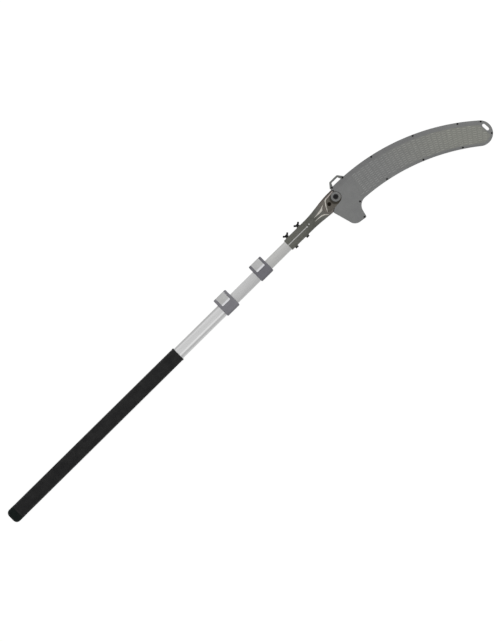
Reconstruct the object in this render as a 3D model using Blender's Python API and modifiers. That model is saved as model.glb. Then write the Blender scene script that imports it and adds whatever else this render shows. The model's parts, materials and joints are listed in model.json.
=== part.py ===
"""Telescopic pole saw, collapsed, with its curved blade in a riveted scabbard.

The pole lies along +X with its butt towards -X. The blade's flat sides face up and down,
its teeth and hook point towards -Y, and the clamp levers, wing nuts and belt loop are on
the +Y side. While the parts are built, x = 0 is the butt's end and y = z = 0 is the axis
of the pole; the last step moves the whole saw so that it rests on z = 0 under the middle
of its own box.
"""
import math

import bmesh
import bpy
from mathutils import Matrix, Vector

MM = 0.001

# Clearances
GAP = 0.3 * MM                    # between pieces that are seated on each other
RUNNING = 0.3 * MM                # each side of a tube that slides in a tube
GUIDE_RUNNING = 0.15 * MM         # each side of a tail guide that slides in a tube

# Tubes: flat-sided ovals, each sized by the bore of the one outside it
OUTER_WIDTH = 39.6 * MM
OUTER_DEPTH = 31.6 * MM
OUTER_CORNER = 12.0 * MM
OUTER_WALL = 1.8 * MM
MIDDLE_WALL = 1.4 * MM
INNER_WALL = 1.4 * MM

# Butt cap and grip
BUTT_CAP_LENGTH = 28.0 * MM
BUTT_DOME_LENGTH = 20.0 * MM
BUTT_ROUNDING = 14.0 * MM
BUTT_PLUG_LENGTH = 30.0 * MM
BUTT_PLUG_WALL = 2.4 * MM
GRIP_LENGTH = 676.0 * MM
GRIP_WALL = 3.15 * MM

# What shows of each tube, and the guides in their tails
OUTER_SHOWING = 185.7 * MM
MIDDLE_SHOWING = 96.5 * MM
INNER_SHOWING = 83.7 * MM
TAIL_FLANGE = 6.0 * MM
TAIL_PLUG = 24.0 * MM
TAIL_GUIDE_WALL = 2.6 * MM
TAIL_SPACE = 3.0 * MM

# Clamps: collar, cam lever, hinge pin, brake shoe and fixing screw
LOWER_COLLAR_LENGTH = 49.5 * MM
UPPER_COLLAR_LENGTH = 48.0 * MM
COLLAR_WALL = 4.6 * MM
COLLAR_LIP = 6.0 * MM
COLLAR_TOP = 7.1 * MM
COLLAR_SHELF = 2.8 * MM
COLLAR_EDGE = 1.4 * MM
COLLAR_FOOT_ROUND = 5.0 * MM
COLLAR_ROUND = 9.0 * MM
EAR_REACH = 14.3 * MM
EAR_ROUND = 8.0 * MM
EAR_HEEL_ROUND = 6.4 * MM
EAR_FOOT_ROUND = 2.0 * MM
EAR_FOOT = 9.0 * MM
LEVER_WIDTH = 32.0 * MM
LEVER_TIP = 6.7 * MM
LEVER_LIP_WIDTH = 4.6 * MM
LEVER_LIP_HEIGHT = 1.8 * MM
LEVER_LIP_ROUND = 0.8 * MM
LEVER_HEEL_ROUND = 2.0 * MM
PIN_HEIGHT = 5.0 * MM
PIN_RADIUS = 2.2 * MM
PIN_TO_EDGE = 9.0 * MM
PIN_RUNNING = 0.15 * MM
SHOE_LENGTH = 19.0 * MM
SHOE_HEIGHT = 8.0 * MM
SCREW_FROM_END = 7.0 * MM
SCREW_RADIUS = 2.0 * MM
SCREW_HEAD_RADIUS = 3.8 * MM
SCREW_HEAD_DEPTH = 1.6 * MM
SCREW_SUNK = 0.5 * MM

# Head bracket: slit socket, neck and blade seat
SOCKET_DEPTH = 86.0 * MM
SOCKET_WALL = 2.5 * MM
SLIT_WIDTH = 3.0 * MM
SLIT_END_RADIUS = 2.8 * MM
CLAMP_BOLT_FROM_EDGE = 16.0 * MM
CLAMP_BOLT_SPACING = 45.5 * MM
CLAMP_BOLT_RADIUS = 3.0 * MM
CLAMP_BOSS_RADIUS = 6.6 * MM
CLAMP_BOSS_STEP = 0.8 * MM
TANG_BOLT_X = 175.0 * MM          # from the bracket's rear edge
TANG_BOLT_Y = 2.0 * MM
BLADE_BOLT_SPACING = 29.0 * MM
BLADE_BOLT_Y = 4.0 * MM
NECK_START = 87.0 * MM
NECK_LENGTH = 107.0 * MM
NECK_THIN_LENGTH = 74.0 * MM
SEAT_UPPER = 28.2 * MM
SEAT_LOWER = 25.4 * MM
SEAT_RIM_TOP = 4.2 * MM
SEAT_UNDER = 8.0 * MM
SEAT_CORNER = 3.0 * MM
POCKET_START = 103.0 * MM
POCKET_END = 151.0 * MM
POCKET_HALF_WIDTH = 11.5 * MM
POCKET_DEPTH = 4.0 * MM
POCKET_POINT_ROUND = 1.5 * MM
POCKET_CORNER = 3.0 * MM

# Clamp bolts, washers and wing nuts
HEX_HEAD_HEIGHT = 4.4 * MM
SMALL_HEX = 5.77 * MM             # corner radius of a 10 mm hexagon
WASHER_RADIUS = 6.0 * MM
WASHER_THICKNESS = 1.2 * MM
THREAD_RUNNING = 0.35 * MM
WING_HUB_RADIUS = 4.6 * MM
WING_HUB_WAIST = 3.8 * MM         # radius at WING_HUB_WAIST_AT above the seat
WING_HUB_WAIST_AT = 3.1 * MM
WING_HUB_TOP = 3.4 * MM
WING_HUB_HEIGHT = 5.6 * MM
WING_HUB_EDGE = 0.4 * MM
WING_SPAN = 12.2 * MM
WING_RISE = 11.2 * MM
WING_BLADE = 3.5 * MM             # width of the wing across its own slope
WING_FOOT = 0.8 * MM
WING_ROUND = 1.2 * MM
WING_THICKNESS = 2.2 * MM
BOLT_PAST_NUT = 1.2 * MM

# Blade, laid out along a curve whose middle line has this radius
CURVE_RADIUS = 660.0 * MM
CURVE_TOP_AHEAD = 21.7 * MM       # the curve's top, ahead of the blade bolt
CURVE_TOP_Y = -12.7 * MM
BLADE_THICKNESS = 1.8 * MM
TANG_RADIUS = 19.5 * MM
BACK_CLEARANCE = 5.0 * MM
TOOTH_LINE_ROOT = 31.0 * MM
TOOTH_LINE_TIP = 13.0 * MM
TEETH_START = 30.0 * MM
TEETH_END = 432.0 * MM
TOOTH_PITCH = 4.4 * MM
TOOTH_DEPTH = 3.2 * MM
TOOTH_RAKE = 0.3
NOSE_LENGTH = 17.0 * MM
NOSE_ROUND = 12.0 * MM
NOSE_CHIN_ROUND = 6.0 * MM
NOSE_HEEL_ROUND = 2.0 * MM
HOOK_ROOT_AHEAD = 14.0 * MM       # from the tang bolt to where the hook leaves the tang
HOOK_POINT_BACK = 9.7 * MM        # from the curve's top
HOOK_POINT_DROP = 75.0 * MM       # below the curve's middle line
HOOK_OUTER_BOW = 7.0 * MM
HOOK_INNER_BOW = 12.0 * MM

# Blade bolts and clamping disc
BLADE_BOLT_RADIUS = 4.0 * MM
BLADE_HEX = 7.5 * MM
BLADE_HEX_HEIGHT = 5.5 * MM
BLADE_NUT_HEIGHT = 6.0 * MM
DISC_RADIUS = 15.0 * MM
DISC_HEIGHT = 8.0 * MM
DISC_CHAMFER = 1.4 * MM
DISC_SINK_RADIUS = 8.4 * MM
DISC_SINK_DEPTH = 4.2 * MM
TANG_BOLT_RADIUS = 3.0 * MM
TANG_HEAD_RADIUS = 6.0 * MM
TANG_HEAD_HEIGHT = 3.8 * MM
TANG_NUT_HEIGHT = 4.6 * MM
HOLE_CLEARANCE = 0.35 * MM

# Scabbard: two shells, riveted at the rim
SHEATH_HALF_ROOT = 45.2 * MM
SHEATH_HALF_TIP = 38.4 * MM
SHEATH_TIP_AT = 457.3 * MM
SHEATH_THICKNESS = 10.8 * MM
SHEATH_FACE = 2.2 * MM
SHEATH_RIM = 6.5 * MM
SHEATH_EDGE = 1.2 * MM
SHEATH_ROOT_AT = 15.5 * MM        # the root edge's upper corner, back from the curve's top
CAVITY_END = 456.0 * MM
CAVITY_ROUND = 20.0 * MM
NOTCH_CLEARANCE = 1.8 * MM
SEAT_CLEARANCE = 1.3 * MM
LOBE_HEEL_BACK = 59.2 * MM
LOBE_HEEL_DROP = 12.3 * MM
LOBE_BACK = 38.1 * MM
LOBE_BACK_DROP = 85.8 * MM
LOBE_POINT_AHEAD = 2.6 * MM
LOBE_POINT_DROP = 91.8 * MM
LOBE_THROAT_AT = 15.2 * MM
LOBE_HEEL_ROUND = 3.0 * MM
LOBE_BACK_ROUND = 24.0 * MM
LOBE_POINT_ROUND = 4.5 * MM
LOBE_THROAT_ROUND = 30.0 * MM
LOBE_RIM = 5.0 * MM
EYE_FROM_TIP = 24.8 * MM
EYE_WIDTH = 11.0 * MM
EYE_LENGTH = 25.0 * MM
EYE_TURN = 4.0                    # degrees round the tip

# Rivets and belt loop
RIVET_INSET = 3.5 * MM
RIVET_RADIUS = 1.5 * MM
RIVET_HEAD_RADIUS = 2.6 * MM
RIVET_HEAD_HEIGHT = 1.3 * MM
RIVET_TOP_FIRST = 131.0 * MM
RIVET_BOTTOM_FIRST = 134.7 * MM
RIVET_SPACING = 131.7 * MM
RIVET_TIP_TURN = 44.0             # degrees, either side of the tip
RIVET_THROAT_AT = 22.0 * MM
RIVET_THROAT_INSET = 0.9 * MM
RIVET_POINT_BACK = 5.2 * MM
RIVET_POINT_RISE = 4.6 * MM
LOOP_FOOT_BACK = 10.1 * MM
LOOP_FOOT_AHEAD = 31.1 * MM
LOOP_RIVET_INSET = 1.0 * MM
LOOP_BOSS_RADIUS = 4.2 * MM
LOOP_RISE = 16.0 * MM             # above the scabbard's edge
LOOP_BAR = 6.2 * MM
LOOP_FOOT_OUT = 7.0 * MM          # from the rivet to the foot's outer edge
LOOP_FOOT_IN = 4.0 * MM
LOOP_TOP_OUT = 5.0 * MM           # the legs lean in: from the rivet to the bar's end
LOOP_TOP_IN = 8.0 * MM
LOOP_THICKNESS = 4.6 * MM
LOOP_FOOT_DEPTH = 5.6 * MM
LOOP_ROUND = 4.0 * MM
LOOP_INNER_ROUND = 2.0 * MM
LOOP_FOOT_ROUND = 0.6 * MM

ROUND_STEPS = 6                   # segments in each corner of an oval
SIDES = 20                        # segments round a bolt or pin
SMOOTH_BELOW = 35.0               # degrees between faces that are shaded as one


# Ovals are (width, depth, corner radius), laid out in the plane across the pole

def grown(oval, by):
    width, depth, corner = oval
    return (width + 2 * by, depth + 2 * by, corner + by)


OUTER = (OUTER_WIDTH, OUTER_DEPTH, OUTER_CORNER)
OUTER_BORE = grown(OUTER, -OUTER_WALL)
MIDDLE = grown(OUTER_BORE, -RUNNING)
MIDDLE_BORE = grown(MIDDLE, -MIDDLE_WALL)
INNER = grown(MIDDLE_BORE, -RUNNING)
GRIP = grown(OUTER, GAP + GRIP_WALL)
SOCKET = grown(INNER, GAP + SOCKET_WALL)

# Places along the pole, from the butt's end
GRIP_X = BUTT_CAP_LENGTH + GAP
GRIP_END_X = GRIP_X + GRIP_LENGTH
LOWER_COLLAR_X = GRIP_END_X + OUTER_SHOWING
LOWER_COLLAR_END_X = LOWER_COLLAR_X + LOWER_COLLAR_LENGTH
UPPER_COLLAR_X = LOWER_COLLAR_END_X + MIDDLE_SHOWING
UPPER_COLLAR_END_X = UPPER_COLLAR_X + UPPER_COLLAR_LENGTH
BRACKET_X = UPPER_COLLAR_END_X + INNER_SHOWING
MIDDLE_TAIL_X = BUTT_CAP_LENGTH + BUTT_PLUG_LENGTH + TAIL_SPACE
INNER_TAIL_X = MIDDLE_TAIL_X + TAIL_FLANGE + TAIL_PLUG + TAIL_SPACE
TANG_BOLT = Vector((BRACKET_X + TANG_BOLT_X, TANG_BOLT_Y))
BLADE_BOLT = Vector((TANG_BOLT.x + BLADE_BOLT_SPACING, BLADE_BOLT_Y))
CURVE_TOP_X = BLADE_BOLT.x + CURVE_TOP_AHEAD
CURVE_CENTRE = Vector((CURVE_TOP_X, CURVE_TOP_Y - CURVE_RADIUS))

CAM_RADIUS = EAR_REACH - PIN_TO_EDGE - GAP

# Levels at the blade seat
BLADE_TOP = BLADE_THICKNESS / 2
SEAT_LEVEL = -BLADE_TOP - GAP
SEAT_BOTTOM = SEAT_LEVEL - SEAT_UNDER
DISC_BOTTOM = BLADE_TOP + GAP
SHEATH_HALF = SHEATH_THICKNESS / 2
NOTCH_RADIUS = DISC_RADIUS + NOTCH_CLEARANCE
SEAT_END_RADIUS = NOTCH_RADIUS - SEAT_CLEARANCE
BOSS_FACE = SOCKET[0] / 2 + CLAMP_BOSS_STEP

# A curve laid flat across the pole: its x becomes the pole's y, its y becomes z
ACROSS = (math.pi / 2, 0.0, math.pi / 2)


# Scene

for old in list(bpy.data.objects):
    bpy.data.objects.remove(old)

parts = bpy.data.collections.new("pole_saw")
cutters = bpy.data.collections.new("pole_saw_cutters")
bpy.context.scene.collection.children.link(parts)
bpy.context.scene.collection.children.link(cutters)


def axis_empty(name, at, home=None):
    """An empty on a joint's axis; what moves with the joint is its child."""
    empty = bpy.data.objects.new(name, None)
    empty.empty_display_size = 0.03
    parts.objects.link(empty)
    empty.parent = home
    empty.location = Vector(at) - place_of(home)
    return empty


def place_of(home):
    place = Vector((0, 0, 0))
    while home:
        place += home.location
        home = home.parent
    return place


def finish(name, colour, roughness, metallic=0.0):
    material = bpy.data.materials.new(name)
    material.use_nodes = True
    shader = material.node_tree.nodes["Principled BSDF"]
    shader.inputs["Base Color"].default_value = (*colour, 1.0)
    shader.inputs["Roughness"].default_value = roughness
    shader.inputs["Metallic"].default_value = metallic
    material.diffuse_color = (*colour, 1.0)
    return material


# Building blocks

def new_piece(name, mesh, at, home, material, turn=(0, 0, 0)):
    piece = bpy.data.objects.new(name, mesh)
    parts.objects.link(piece)
    piece.parent = home
    piece.location = Vector(at) - place_of(home)
    piece.rotation_euler = turn
    mesh.materials.clear()
    mesh.materials.append(material)
    mesh.shade_smooth()
    mesh.set_sharp_from_angle(angle=math.radians(SMOOTH_BELOW))
    return piece


def as_cutter(piece):
    parts.objects.unlink(piece)
    cutters.objects.link(piece)
    piece.hide_render = True
    piece.display_type = "WIRE"
    return piece


def boolean(piece, tool, operation):
    modifier = piece.modifiers.new(operation.lower(), "BOOLEAN")
    modifier.operation = operation
    modifier.object = tool
    as_cutter(tool)


def cut(piece, *tools):
    for tool in tools:
        boolean(piece, tool, "DIFFERENCE")


def join(piece, *tools):
    for tool in tools:
        boolean(piece, tool, "UNION")


def flat(name, outlines, thickness, at, home, material, turn=(0, 0, 0), edge=0.0):
    """A plate from flat outlines, its thickness centred on the place given."""
    data = bpy.data.curves.new(name, "CURVE")
    data.dimensions = "2D"
    data.fill_mode = "BOTH"
    data.extrude = thickness / 2 - edge
    data.bevel_depth = edge
    data.bevel_resolution = 1
    data.offset = -edge
    for outline in outlines:
        spline = data.splines.new("POLY")
        spline.points.add(len(outline) - 1)
        spline.use_cyclic_u = True
        for point, (x, y) in zip(spline.points, outline):
            point.co = (x, y, 0, 1)
    drawn = bpy.data.objects.new(name + "_outline", data)
    parts.objects.link(drawn)
    depsgraph = bpy.context.evaluated_depsgraph_get()
    mesh = bpy.data.meshes.new_from_object(drawn.evaluated_get(depsgraph))
    bpy.data.objects.remove(drawn)
    bm = bmesh.new()
    bm.from_mesh(mesh)
    bmesh.ops.remove_doubles(bm, verts=bm.verts, dist=0.00001)
    bm.to_mesh(mesh)
    bm.free()
    return new_piece(name, mesh, at, home, material, turn)


def box(name, low, high, home, material):
    low, high = Vector(low), Vector(high)
    bm = bmesh.new()
    bmesh.ops.create_cube(bm, size=1)
    bmesh.ops.scale(bm, vec=high - low, verts=bm.verts)
    mesh = bpy.data.meshes.new(name)
    bm.to_mesh(mesh)
    bm.free()
    return new_piece(name, mesh, (low + high) / 2, home, material)


def rod(name, radius, start, end, home, material, sides=SIDES):
    """A round bar, or a hexagonal one with six sides, from start to end."""
    start, end = Vector(start), Vector(end)
    bm = bmesh.new()
    bmesh.ops.create_cone(bm, cap_ends=True, segments=sides, radius1=radius,
                          radius2=radius, depth=(end - start).length)
    mesh = bpy.data.meshes.new(name)
    bm.to_mesh(mesh)
    bm.free()
    turn = Vector((0, 0, 1)).rotation_difference(end - start).to_euler()
    return new_piece(name, mesh, (start + end) / 2, home, material, turn)


def turned(name, profile, at, home, material, turn=(0, 0, 0), sides=SIDES):
    """A turned piece: (radius, height) points from the top down its outer side."""
    mesh = bpy.data.meshes.new(name)
    points = [(radius, 0, height) for radius, height in profile]
    mesh.from_pydata(points, [(i, i + 1) for i in range(len(points) - 1)], [])
    piece = new_piece(name, mesh, at, home, material, turn)
    screw = piece.modifiers.new("turn", "SCREW")
    screw.steps = sides
    screw.render_steps = sides
    screw.use_merge_vertices = True
    screw.merge_threshold = 0.00001
    return piece


def loft(name, sections, at, home, material):
    """A closed skin over sections that have the same number of points."""
    bm = bmesh.new()
    rings = [[bm.verts.new(point) for point in section] for section in sections]
    for ring, after in zip(rings, rings[1:]):
        for i in range(len(ring)):
            j = (i + 1) % len(ring)
            bm.faces.new((ring[i], ring[j], after[j], after[i]))
    bm.faces.new(rings[0])
    bm.faces.new(rings[-1])
    bmesh.ops.recalc_face_normals(bm, faces=bm.faces)
    mesh = bpy.data.meshes.new(name)
    bm.to_mesh(mesh)
    bm.free()
    return new_piece(name, mesh, at, home, material)


# Outlines

def arc(centre, radius, start, end, steps):
    """Points from start to end, in degrees, both included."""
    turns = [math.radians(start + (end - start) * i / steps) for i in range(steps + 1)]
    return [(centre[0] + radius * math.cos(a), centre[1] + radius * math.sin(a)) for a in turns]


def rounded(corners, steps=ROUND_STEPS):
    """A closed outline from (x, y, radius) corners, each rounded by its own radius."""
    outline = []
    for i, (x, y, radius) in enumerate(corners):
        here = Vector((x, y))
        if radius <= 0:
            outline.append((x, y))
            continue
        before = (Vector(corners[i - 1][:2]) - here).normalized()
        after = (Vector(corners[(i + 1) % len(corners)][:2]) - here).normalized()
        half = before.angle(after) / 2
        middle = here + (before + after).normalized() * radius / math.sin(half)
        start = here + before * radius / math.tan(half) - middle
        swing = start.angle_signed(here + after * radius / math.tan(half) - middle)
        for step in range(steps + 1):
            spoke = start.copy()
            spoke.rotate(Matrix.Rotation(-swing * step / steps, 2))
            outline.append(tuple(middle + spoke))
    return outline


def oval(shape, steps=ROUND_STEPS):
    width, depth, corner = shape
    x, y = width / 2, depth / 2
    return rounded([(x, y, corner), (-x, y, corner), (-x, -y, corner), (x, -y, corner)], steps)


def bow(start, end, sag, steps):
    """Points between two ends on a circle that bulges to the left by sag, ends left out."""
    start, end = Vector(start), Vector(end)
    half = (end - start) / 2
    side = Vector((-half.y, half.x)).normalized()
    radius = (half.length_squared + sag * sag) / (2 * abs(sag))
    sign = math.copysign(1, sag)
    centre = start + half + side * (abs(sag) - radius) * sign
    swing = 2 * math.asin(half.length / radius)
    points = []
    for step in range(1, steps):
        spoke = start - centre
        spoke.rotate(Matrix.Rotation(-sign * swing * step / steps, 2))
        points.append(tuple(centre + spoke))
    return points


def on_curve(along, off=0.0):
    """A point by its length along the blade's middle line and its distance outside it."""
    turn = along / CURVE_RADIUS
    reach = CURVE_RADIUS + off
    return (CURVE_CENTRE.x + reach * math.sin(turn), CURVE_CENTRE.y + reach * math.cos(turn))


def run(start, end, steps):
    return [start + (end - start) * i / steps for i in range(steps + 1)]


def sheath_half(along):
    """The scabbard's half width, which narrows to the tip along a parabola."""
    share = max(along, 0.0) / SHEATH_TIP_AT
    return SHEATH_HALF_ROOT - (SHEATH_HALF_ROOT - SHEATH_HALF_TIP) * share * share


def tooth_line(along):
    share = (along - TEETH_START) / (TEETH_END - TEETH_START)
    return -(TOOTH_LINE_ROOT + (TOOTH_LINE_TIP - TOOTH_LINE_ROOT) * share)


def blade_back(along):
    return sheath_half(along) - SHEATH_RIM - BACK_CLEARANCE


# Finishes

ALUMINIUM = finish("anodised_aluminium", (0.62, 0.62, 0.61), 0.34, 0.85)
RUBBER = finish("black_rubber", (0.018, 0.019, 0.018), 0.78)
CAP_RUBBER = finish("butt_cap_rubber", (0.024, 0.028, 0.024), 0.7)
COLLAR_GREY = finish("collar_grey", (0.17, 0.168, 0.185), 0.55)
LEVER_GREY = finish("lever_grey", (0.46, 0.46, 0.455), 0.5)
BRAKE_PLASTIC = finish("brake_plastic", (0.05, 0.05, 0.05), 0.6)
GUIDE_PLASTIC = finish("guide_plastic", (0.6, 0.6, 0.58), 0.5)
STEEL = finish("zinc_steel", (0.5, 0.5, 0.49), 0.35, 1.0)
BLACK_STEEL = finish("black_steel", (0.02, 0.02, 0.021), 0.5, 0.6)
CASTING = finish("olive_casting", (0.115, 0.118, 0.098), 0.55, 0.4)
BLADE_STEEL = finish("blade_steel", (0.52, 0.51, 0.49), 0.28, 1.0)
DISC_GREY = finish("disc_grey", (0.2, 0.2, 0.2), 0.45, 0.5)
SHELL_GREY = finish("scabbard_grey", (0.185, 0.192, 0.185), 0.5)
LOOP_GREY = finish("loop_grey", (0.13, 0.135, 0.13), 0.5)
RIVET_BLACK = finish("rivet_black", (0.015, 0.015, 0.015), 0.45, 0.3)


# Pole

def across(name, outlines, start, end, home, material, edge=0.0):
    """A length of the pole, or a cutter for it, from outlines across the pole."""
    middle = ((start + end) / 2, 0, 0)
    return flat(name, outlines, end - start, middle, home, material, ACROSS, edge)


def butt_cap(home):
    sections = []
    for step in range(7):
        share = step / 6
        inset = BUTT_ROUNDING * (1 - math.sqrt(1 - (1 - share) ** 2))
        x = BUTT_DOME_LENGTH * share
        sections.append([(x, y, z) for y, z in oval(grown(GRIP, -inset))])
    sections.append([(BUTT_CAP_LENGTH, y, z) for y, z in oval(GRIP)])
    cap = loft("butt_cap", sections, (0, 0, 0), home, CAP_RUBBER)
    plug = grown(OUTER_BORE, -GAP)
    plug_end = BUTT_CAP_LENGTH + BUTT_PLUG_LENGTH
    join(cap, across("butt_plug", [oval(plug)], BUTT_DOME_LENGTH, plug_end, home, CAP_RUBBER))
    hollow = oval(grown(plug, -BUTT_PLUG_WALL))
    cut(cap, across("butt_hollow", [hollow], BUTT_DOME_LENGTH, plug_end + GAP, home, CAP_RUBBER))


def grip(home):
    outlines = [oval(GRIP), oval(grown(OUTER, GAP))]
    across("rubber_grip", outlines, GRIP_X, GRIP_END_X, home, RUBBER)


def tube(name, shape, wall, start, end, home):
    outlines = [oval(shape), oval(grown(shape, -wall))]
    return across(name, outlines, start, end, home, ALUMINIUM)


def tail_guide(name, shape, wall, around, start, home):
    """A plug in a tube's tail, whose flange slides in the tube around it."""
    plug = grown(shape, -wall - GAP)
    hole = oval(grown(plug, -TAIL_GUIDE_WALL))
    flange_end = start + TAIL_FLANGE
    flange = [oval(grown(around, -GUIDE_RUNNING)), hole]
    guide = across(name, flange, start, flange_end, home, GUIDE_PLASTIC)
    overlap = flange_end - TAIL_FLANGE / 2
    join(guide, across(name + "_plug", [oval(plug), hole], overlap,
                       flange_end + TAIL_PLUG, home, GUIDE_PLASTIC))


# Clamps

class Clamp:
    """The places of one clamp, worked out from the two tubes that it joins."""

    def __init__(self, prefix, big, small, start, length):
        self.prefix = prefix
        self.big = big
        self.small = small
        self.start = start
        self.end = start + length
        self.middle = start + length / 2
        self.half = big[0] / 2 + COLLAR_WALL
        self.reach = self.half + EAR_REACH
        self.bottom = -big[1] / 2 - GAP - GRIP_WALL
        self.top = big[1] / 2 + COLLAR_TOP
        self.shelf = big[1] / 2 + COLLAR_SHELF
        self.pin_y = self.reach - PIN_TO_EDGE
        self.tube_end = self.end - COLLAR_LIP - GAP
        self.screw_x = start + SCREW_FROM_END


LOWER = Clamp("lower", OUTER, MIDDLE, LOWER_COLLAR_X, LOWER_COLLAR_LENGTH)
UPPER = Clamp("upper", MIDDLE, INNER, UPPER_COLLAR_X, UPPER_COLLAR_LENGTH)


def collar(clamp, home):
    """Block with two ears, a shelf for the lever and bores for both tubes."""
    name = clamp.prefix + "_collar"
    outline = rounded([
        (-clamp.half, clamp.bottom, COLLAR_FOOT_ROUND),
        (clamp.half, clamp.bottom, COLLAR_FOOT_ROUND),
        (clamp.half, -EAR_FOOT, EAR_FOOT_ROUND),
        (clamp.reach, -EAR_FOOT / 2, EAR_HEEL_ROUND),
        (clamp.reach, clamp.top, EAR_ROUND),
        (-clamp.half, clamp.top, COLLAR_ROUND),
    ])
    block = across(name, [outline], clamp.start, clamp.end, home, COLLAR_GREY, COLLAR_EDGE)
    bay = LEVER_WIDTH / 2 + GAP
    beyond = clamp.reach + GAP
    above = clamp.top + GAP
    cut(
        block,
        box(name + "_shelf", (clamp.middle - bay, LEVER_TIP - GAP, clamp.shelf),
            (clamp.middle + bay, beyond, above), home, COLLAR_GREY),
        box(name + "_bay", (clamp.middle - bay, clamp.half, clamp.bottom - GAP),
            (clamp.middle + bay, beyond, above), home, COLLAR_GREY),
        across(name + "_seat", [oval(grown(clamp.big, GAP))], clamp.start - GAP,
               clamp.tube_end + GAP, home, COLLAR_GREY),
        across(name + "_bore", [oval(grown(clamp.small, RUNNING))], clamp.start,
               clamp.end + GAP, home, COLLAR_GREY),
        shoe_window(clamp, name, home),
        rod(name + "_pin_hole", PIN_RADIUS + PIN_RUNNING, (clamp.start - GAP, clamp.pin_y, PIN_HEIGHT),
            (clamp.end + GAP, clamp.pin_y, PIN_HEIGHT), home, COLLAR_GREY),
        collar_screw(clamp, name + "_screw_hole", home, GAP),
    )


def shoe_window(clamp, name, home):
    half_length = SHOE_LENGTH / 2 + GAP
    half_height = SHOE_HEIGHT / 2 + GAP
    low = (clamp.middle - half_length, clamp.small[0] / 4, PIN_HEIGHT / 2 - half_height)
    high = (clamp.middle + half_length, clamp.half + GAP, PIN_HEIGHT / 2 + half_height)
    return box(name + "_window", low, high, home, COLLAR_GREY)


def brake_shoe(clamp, home):
    """Block that the cam presses on the smaller tube, through the wall of the larger."""
    low = (clamp.middle - SHOE_LENGTH / 2, clamp.small[0] / 2 + GAP, PIN_HEIGHT / 2 - SHOE_HEIGHT / 2)
    high = (clamp.middle + SHOE_LENGTH / 2, clamp.half, PIN_HEIGHT / 2 + SHOE_HEIGHT / 2)
    box(clamp.prefix + "_brake_shoe", low, high, home, BRAKE_PLASTIC)


def collar_screw(clamp, name, home, room=0.0):
    """Countersunk screw up through the collar into the tube, or the hole for it."""
    bore = clamp.big[1] / 2 - (OUTER_WALL if clamp.big is OUTER else MIDDLE_WALL)
    foot = clamp.bottom + SCREW_SUNK
    tip = -bore - RUNNING / 6
    if room:
        foot = clamp.bottom - GAP
        tip = -bore + RUNNING / 6
    neck = clamp.bottom + SCREW_SUNK + SCREW_HEAD_DEPTH
    profile = [
        (0, tip),
        (SCREW_RADIUS + room, tip),
        (SCREW_RADIUS + room, neck + room / 2),
        (SCREW_HEAD_RADIUS + room, clamp.bottom + SCREW_SUNK + room / 2),
        (SCREW_HEAD_RADIUS + room, foot),
        (0, foot),
    ]
    if not room:
        del profile[4]
    return turned(name, profile, (clamp.screw_x, 0, 0), home, STEEL)


def cut_clamped_tube(piece, clamp, home):
    """The smaller tube's brake shoe and the collar's screw pass through the larger tube."""
    cut(piece, shoe_window(clamp, clamp.prefix + "_tube", home),
        collar_screw(clamp, clamp.prefix + "_tube_screw_hole", home, GAP))


def hinge_pin(clamp, home):
    rod(clamp.prefix + "_hinge_pin", PIN_RADIUS, (clamp.start + COLLAR_EDGE, clamp.pin_y, PIN_HEIGHT),
        (clamp.end - COLLAR_EDGE, clamp.pin_y, PIN_HEIGHT), home, STEEL)


def cam_lever(clamp, home):
    """Lever that wraps from its cam at the pin over the shelf, seen along the pin."""
    inner_y = clamp.pin_y - CAM_RADIUS
    under = clamp.shelf + GAP
    tip = LEVER_TIP
    cam = arc((clamp.pin_y, PIN_HEIGHT), CAM_RADIUS, 180, 285, 10)
    corners = [(y, z, 0) for y, z in cam] + [
        (clamp.reach, PIN_HEIGHT + CAM_RADIUS / 4, LEVER_HEEL_ROUND),
        (clamp.reach, clamp.top, EAR_ROUND),
        (tip + LEVER_LIP_WIDTH + LEVER_LIP_HEIGHT, clamp.top, LEVER_LIP_ROUND),
        (tip + LEVER_LIP_WIDTH, clamp.top + LEVER_LIP_HEIGHT, LEVER_LIP_ROUND),
        (tip, clamp.top + LEVER_LIP_HEIGHT, LEVER_LIP_ROUND),
        (tip, under, LEVER_LIP_ROUND),
        (inner_y, under, 0),
    ]
    outline = rounded([(y - clamp.pin_y, z - PIN_HEIGHT, r) for y, z, r in corners], 4)
    hole = arc((0, 0), PIN_RADIUS + PIN_RUNNING, 0, 342, 19)
    flat(clamp.prefix + "_cam_lever", [outline, hole], LEVER_WIDTH,
         (clamp.middle, clamp.pin_y, PIN_HEIGHT), home, LEVER_GREY, ACROSS)


# Head bracket

def smooth(share):
    share = min(max(share, 0.0), 1.0)
    return share * share * (3 - 2 * share)


def blend(start, end, share):
    return start + (end - start) * share


def neck_section(x):
    """The casting's cross-section at x from its rear edge."""
    wide = smooth((x - NECK_START) / NECK_LENGTH)
    thin = smooth((x - NECK_START) / NECK_THIN_LENGTH)
    upper = blend(SOCKET[0] / 2, SEAT_UPPER, wide)
    lower = -blend(SOCKET[0] / 2, SEAT_LOWER, wide)
    top = blend(SOCKET[1] / 2, SEAT_RIM_TOP, thin)
    bottom = blend(-SOCKET[1] / 2, SEAT_BOTTOM, thin)
    corner = blend(SOCKET[2], SEAT_CORNER, thin)
    outline = rounded([(upper, top, corner), (lower, top, corner),
                       (lower, bottom, corner), (upper, bottom, corner)])
    return [(x, y, z) for y, z in outline]


def notch_line(radius, corner):
    """The angle at which a line from the corner touches the notch's round end."""
    away = Vector(corner) - BLADE_BOLT
    return math.degrees(math.atan2(away.y, away.x) + math.acos(radius / away.length))


HEEL = (CURVE_TOP_X - LOBE_HEEL_BACK, CURVE_TOP_Y - LOBE_HEEL_DROP)
ROOT_X = CURVE_TOP_X - SHEATH_ROOT_AT


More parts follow.
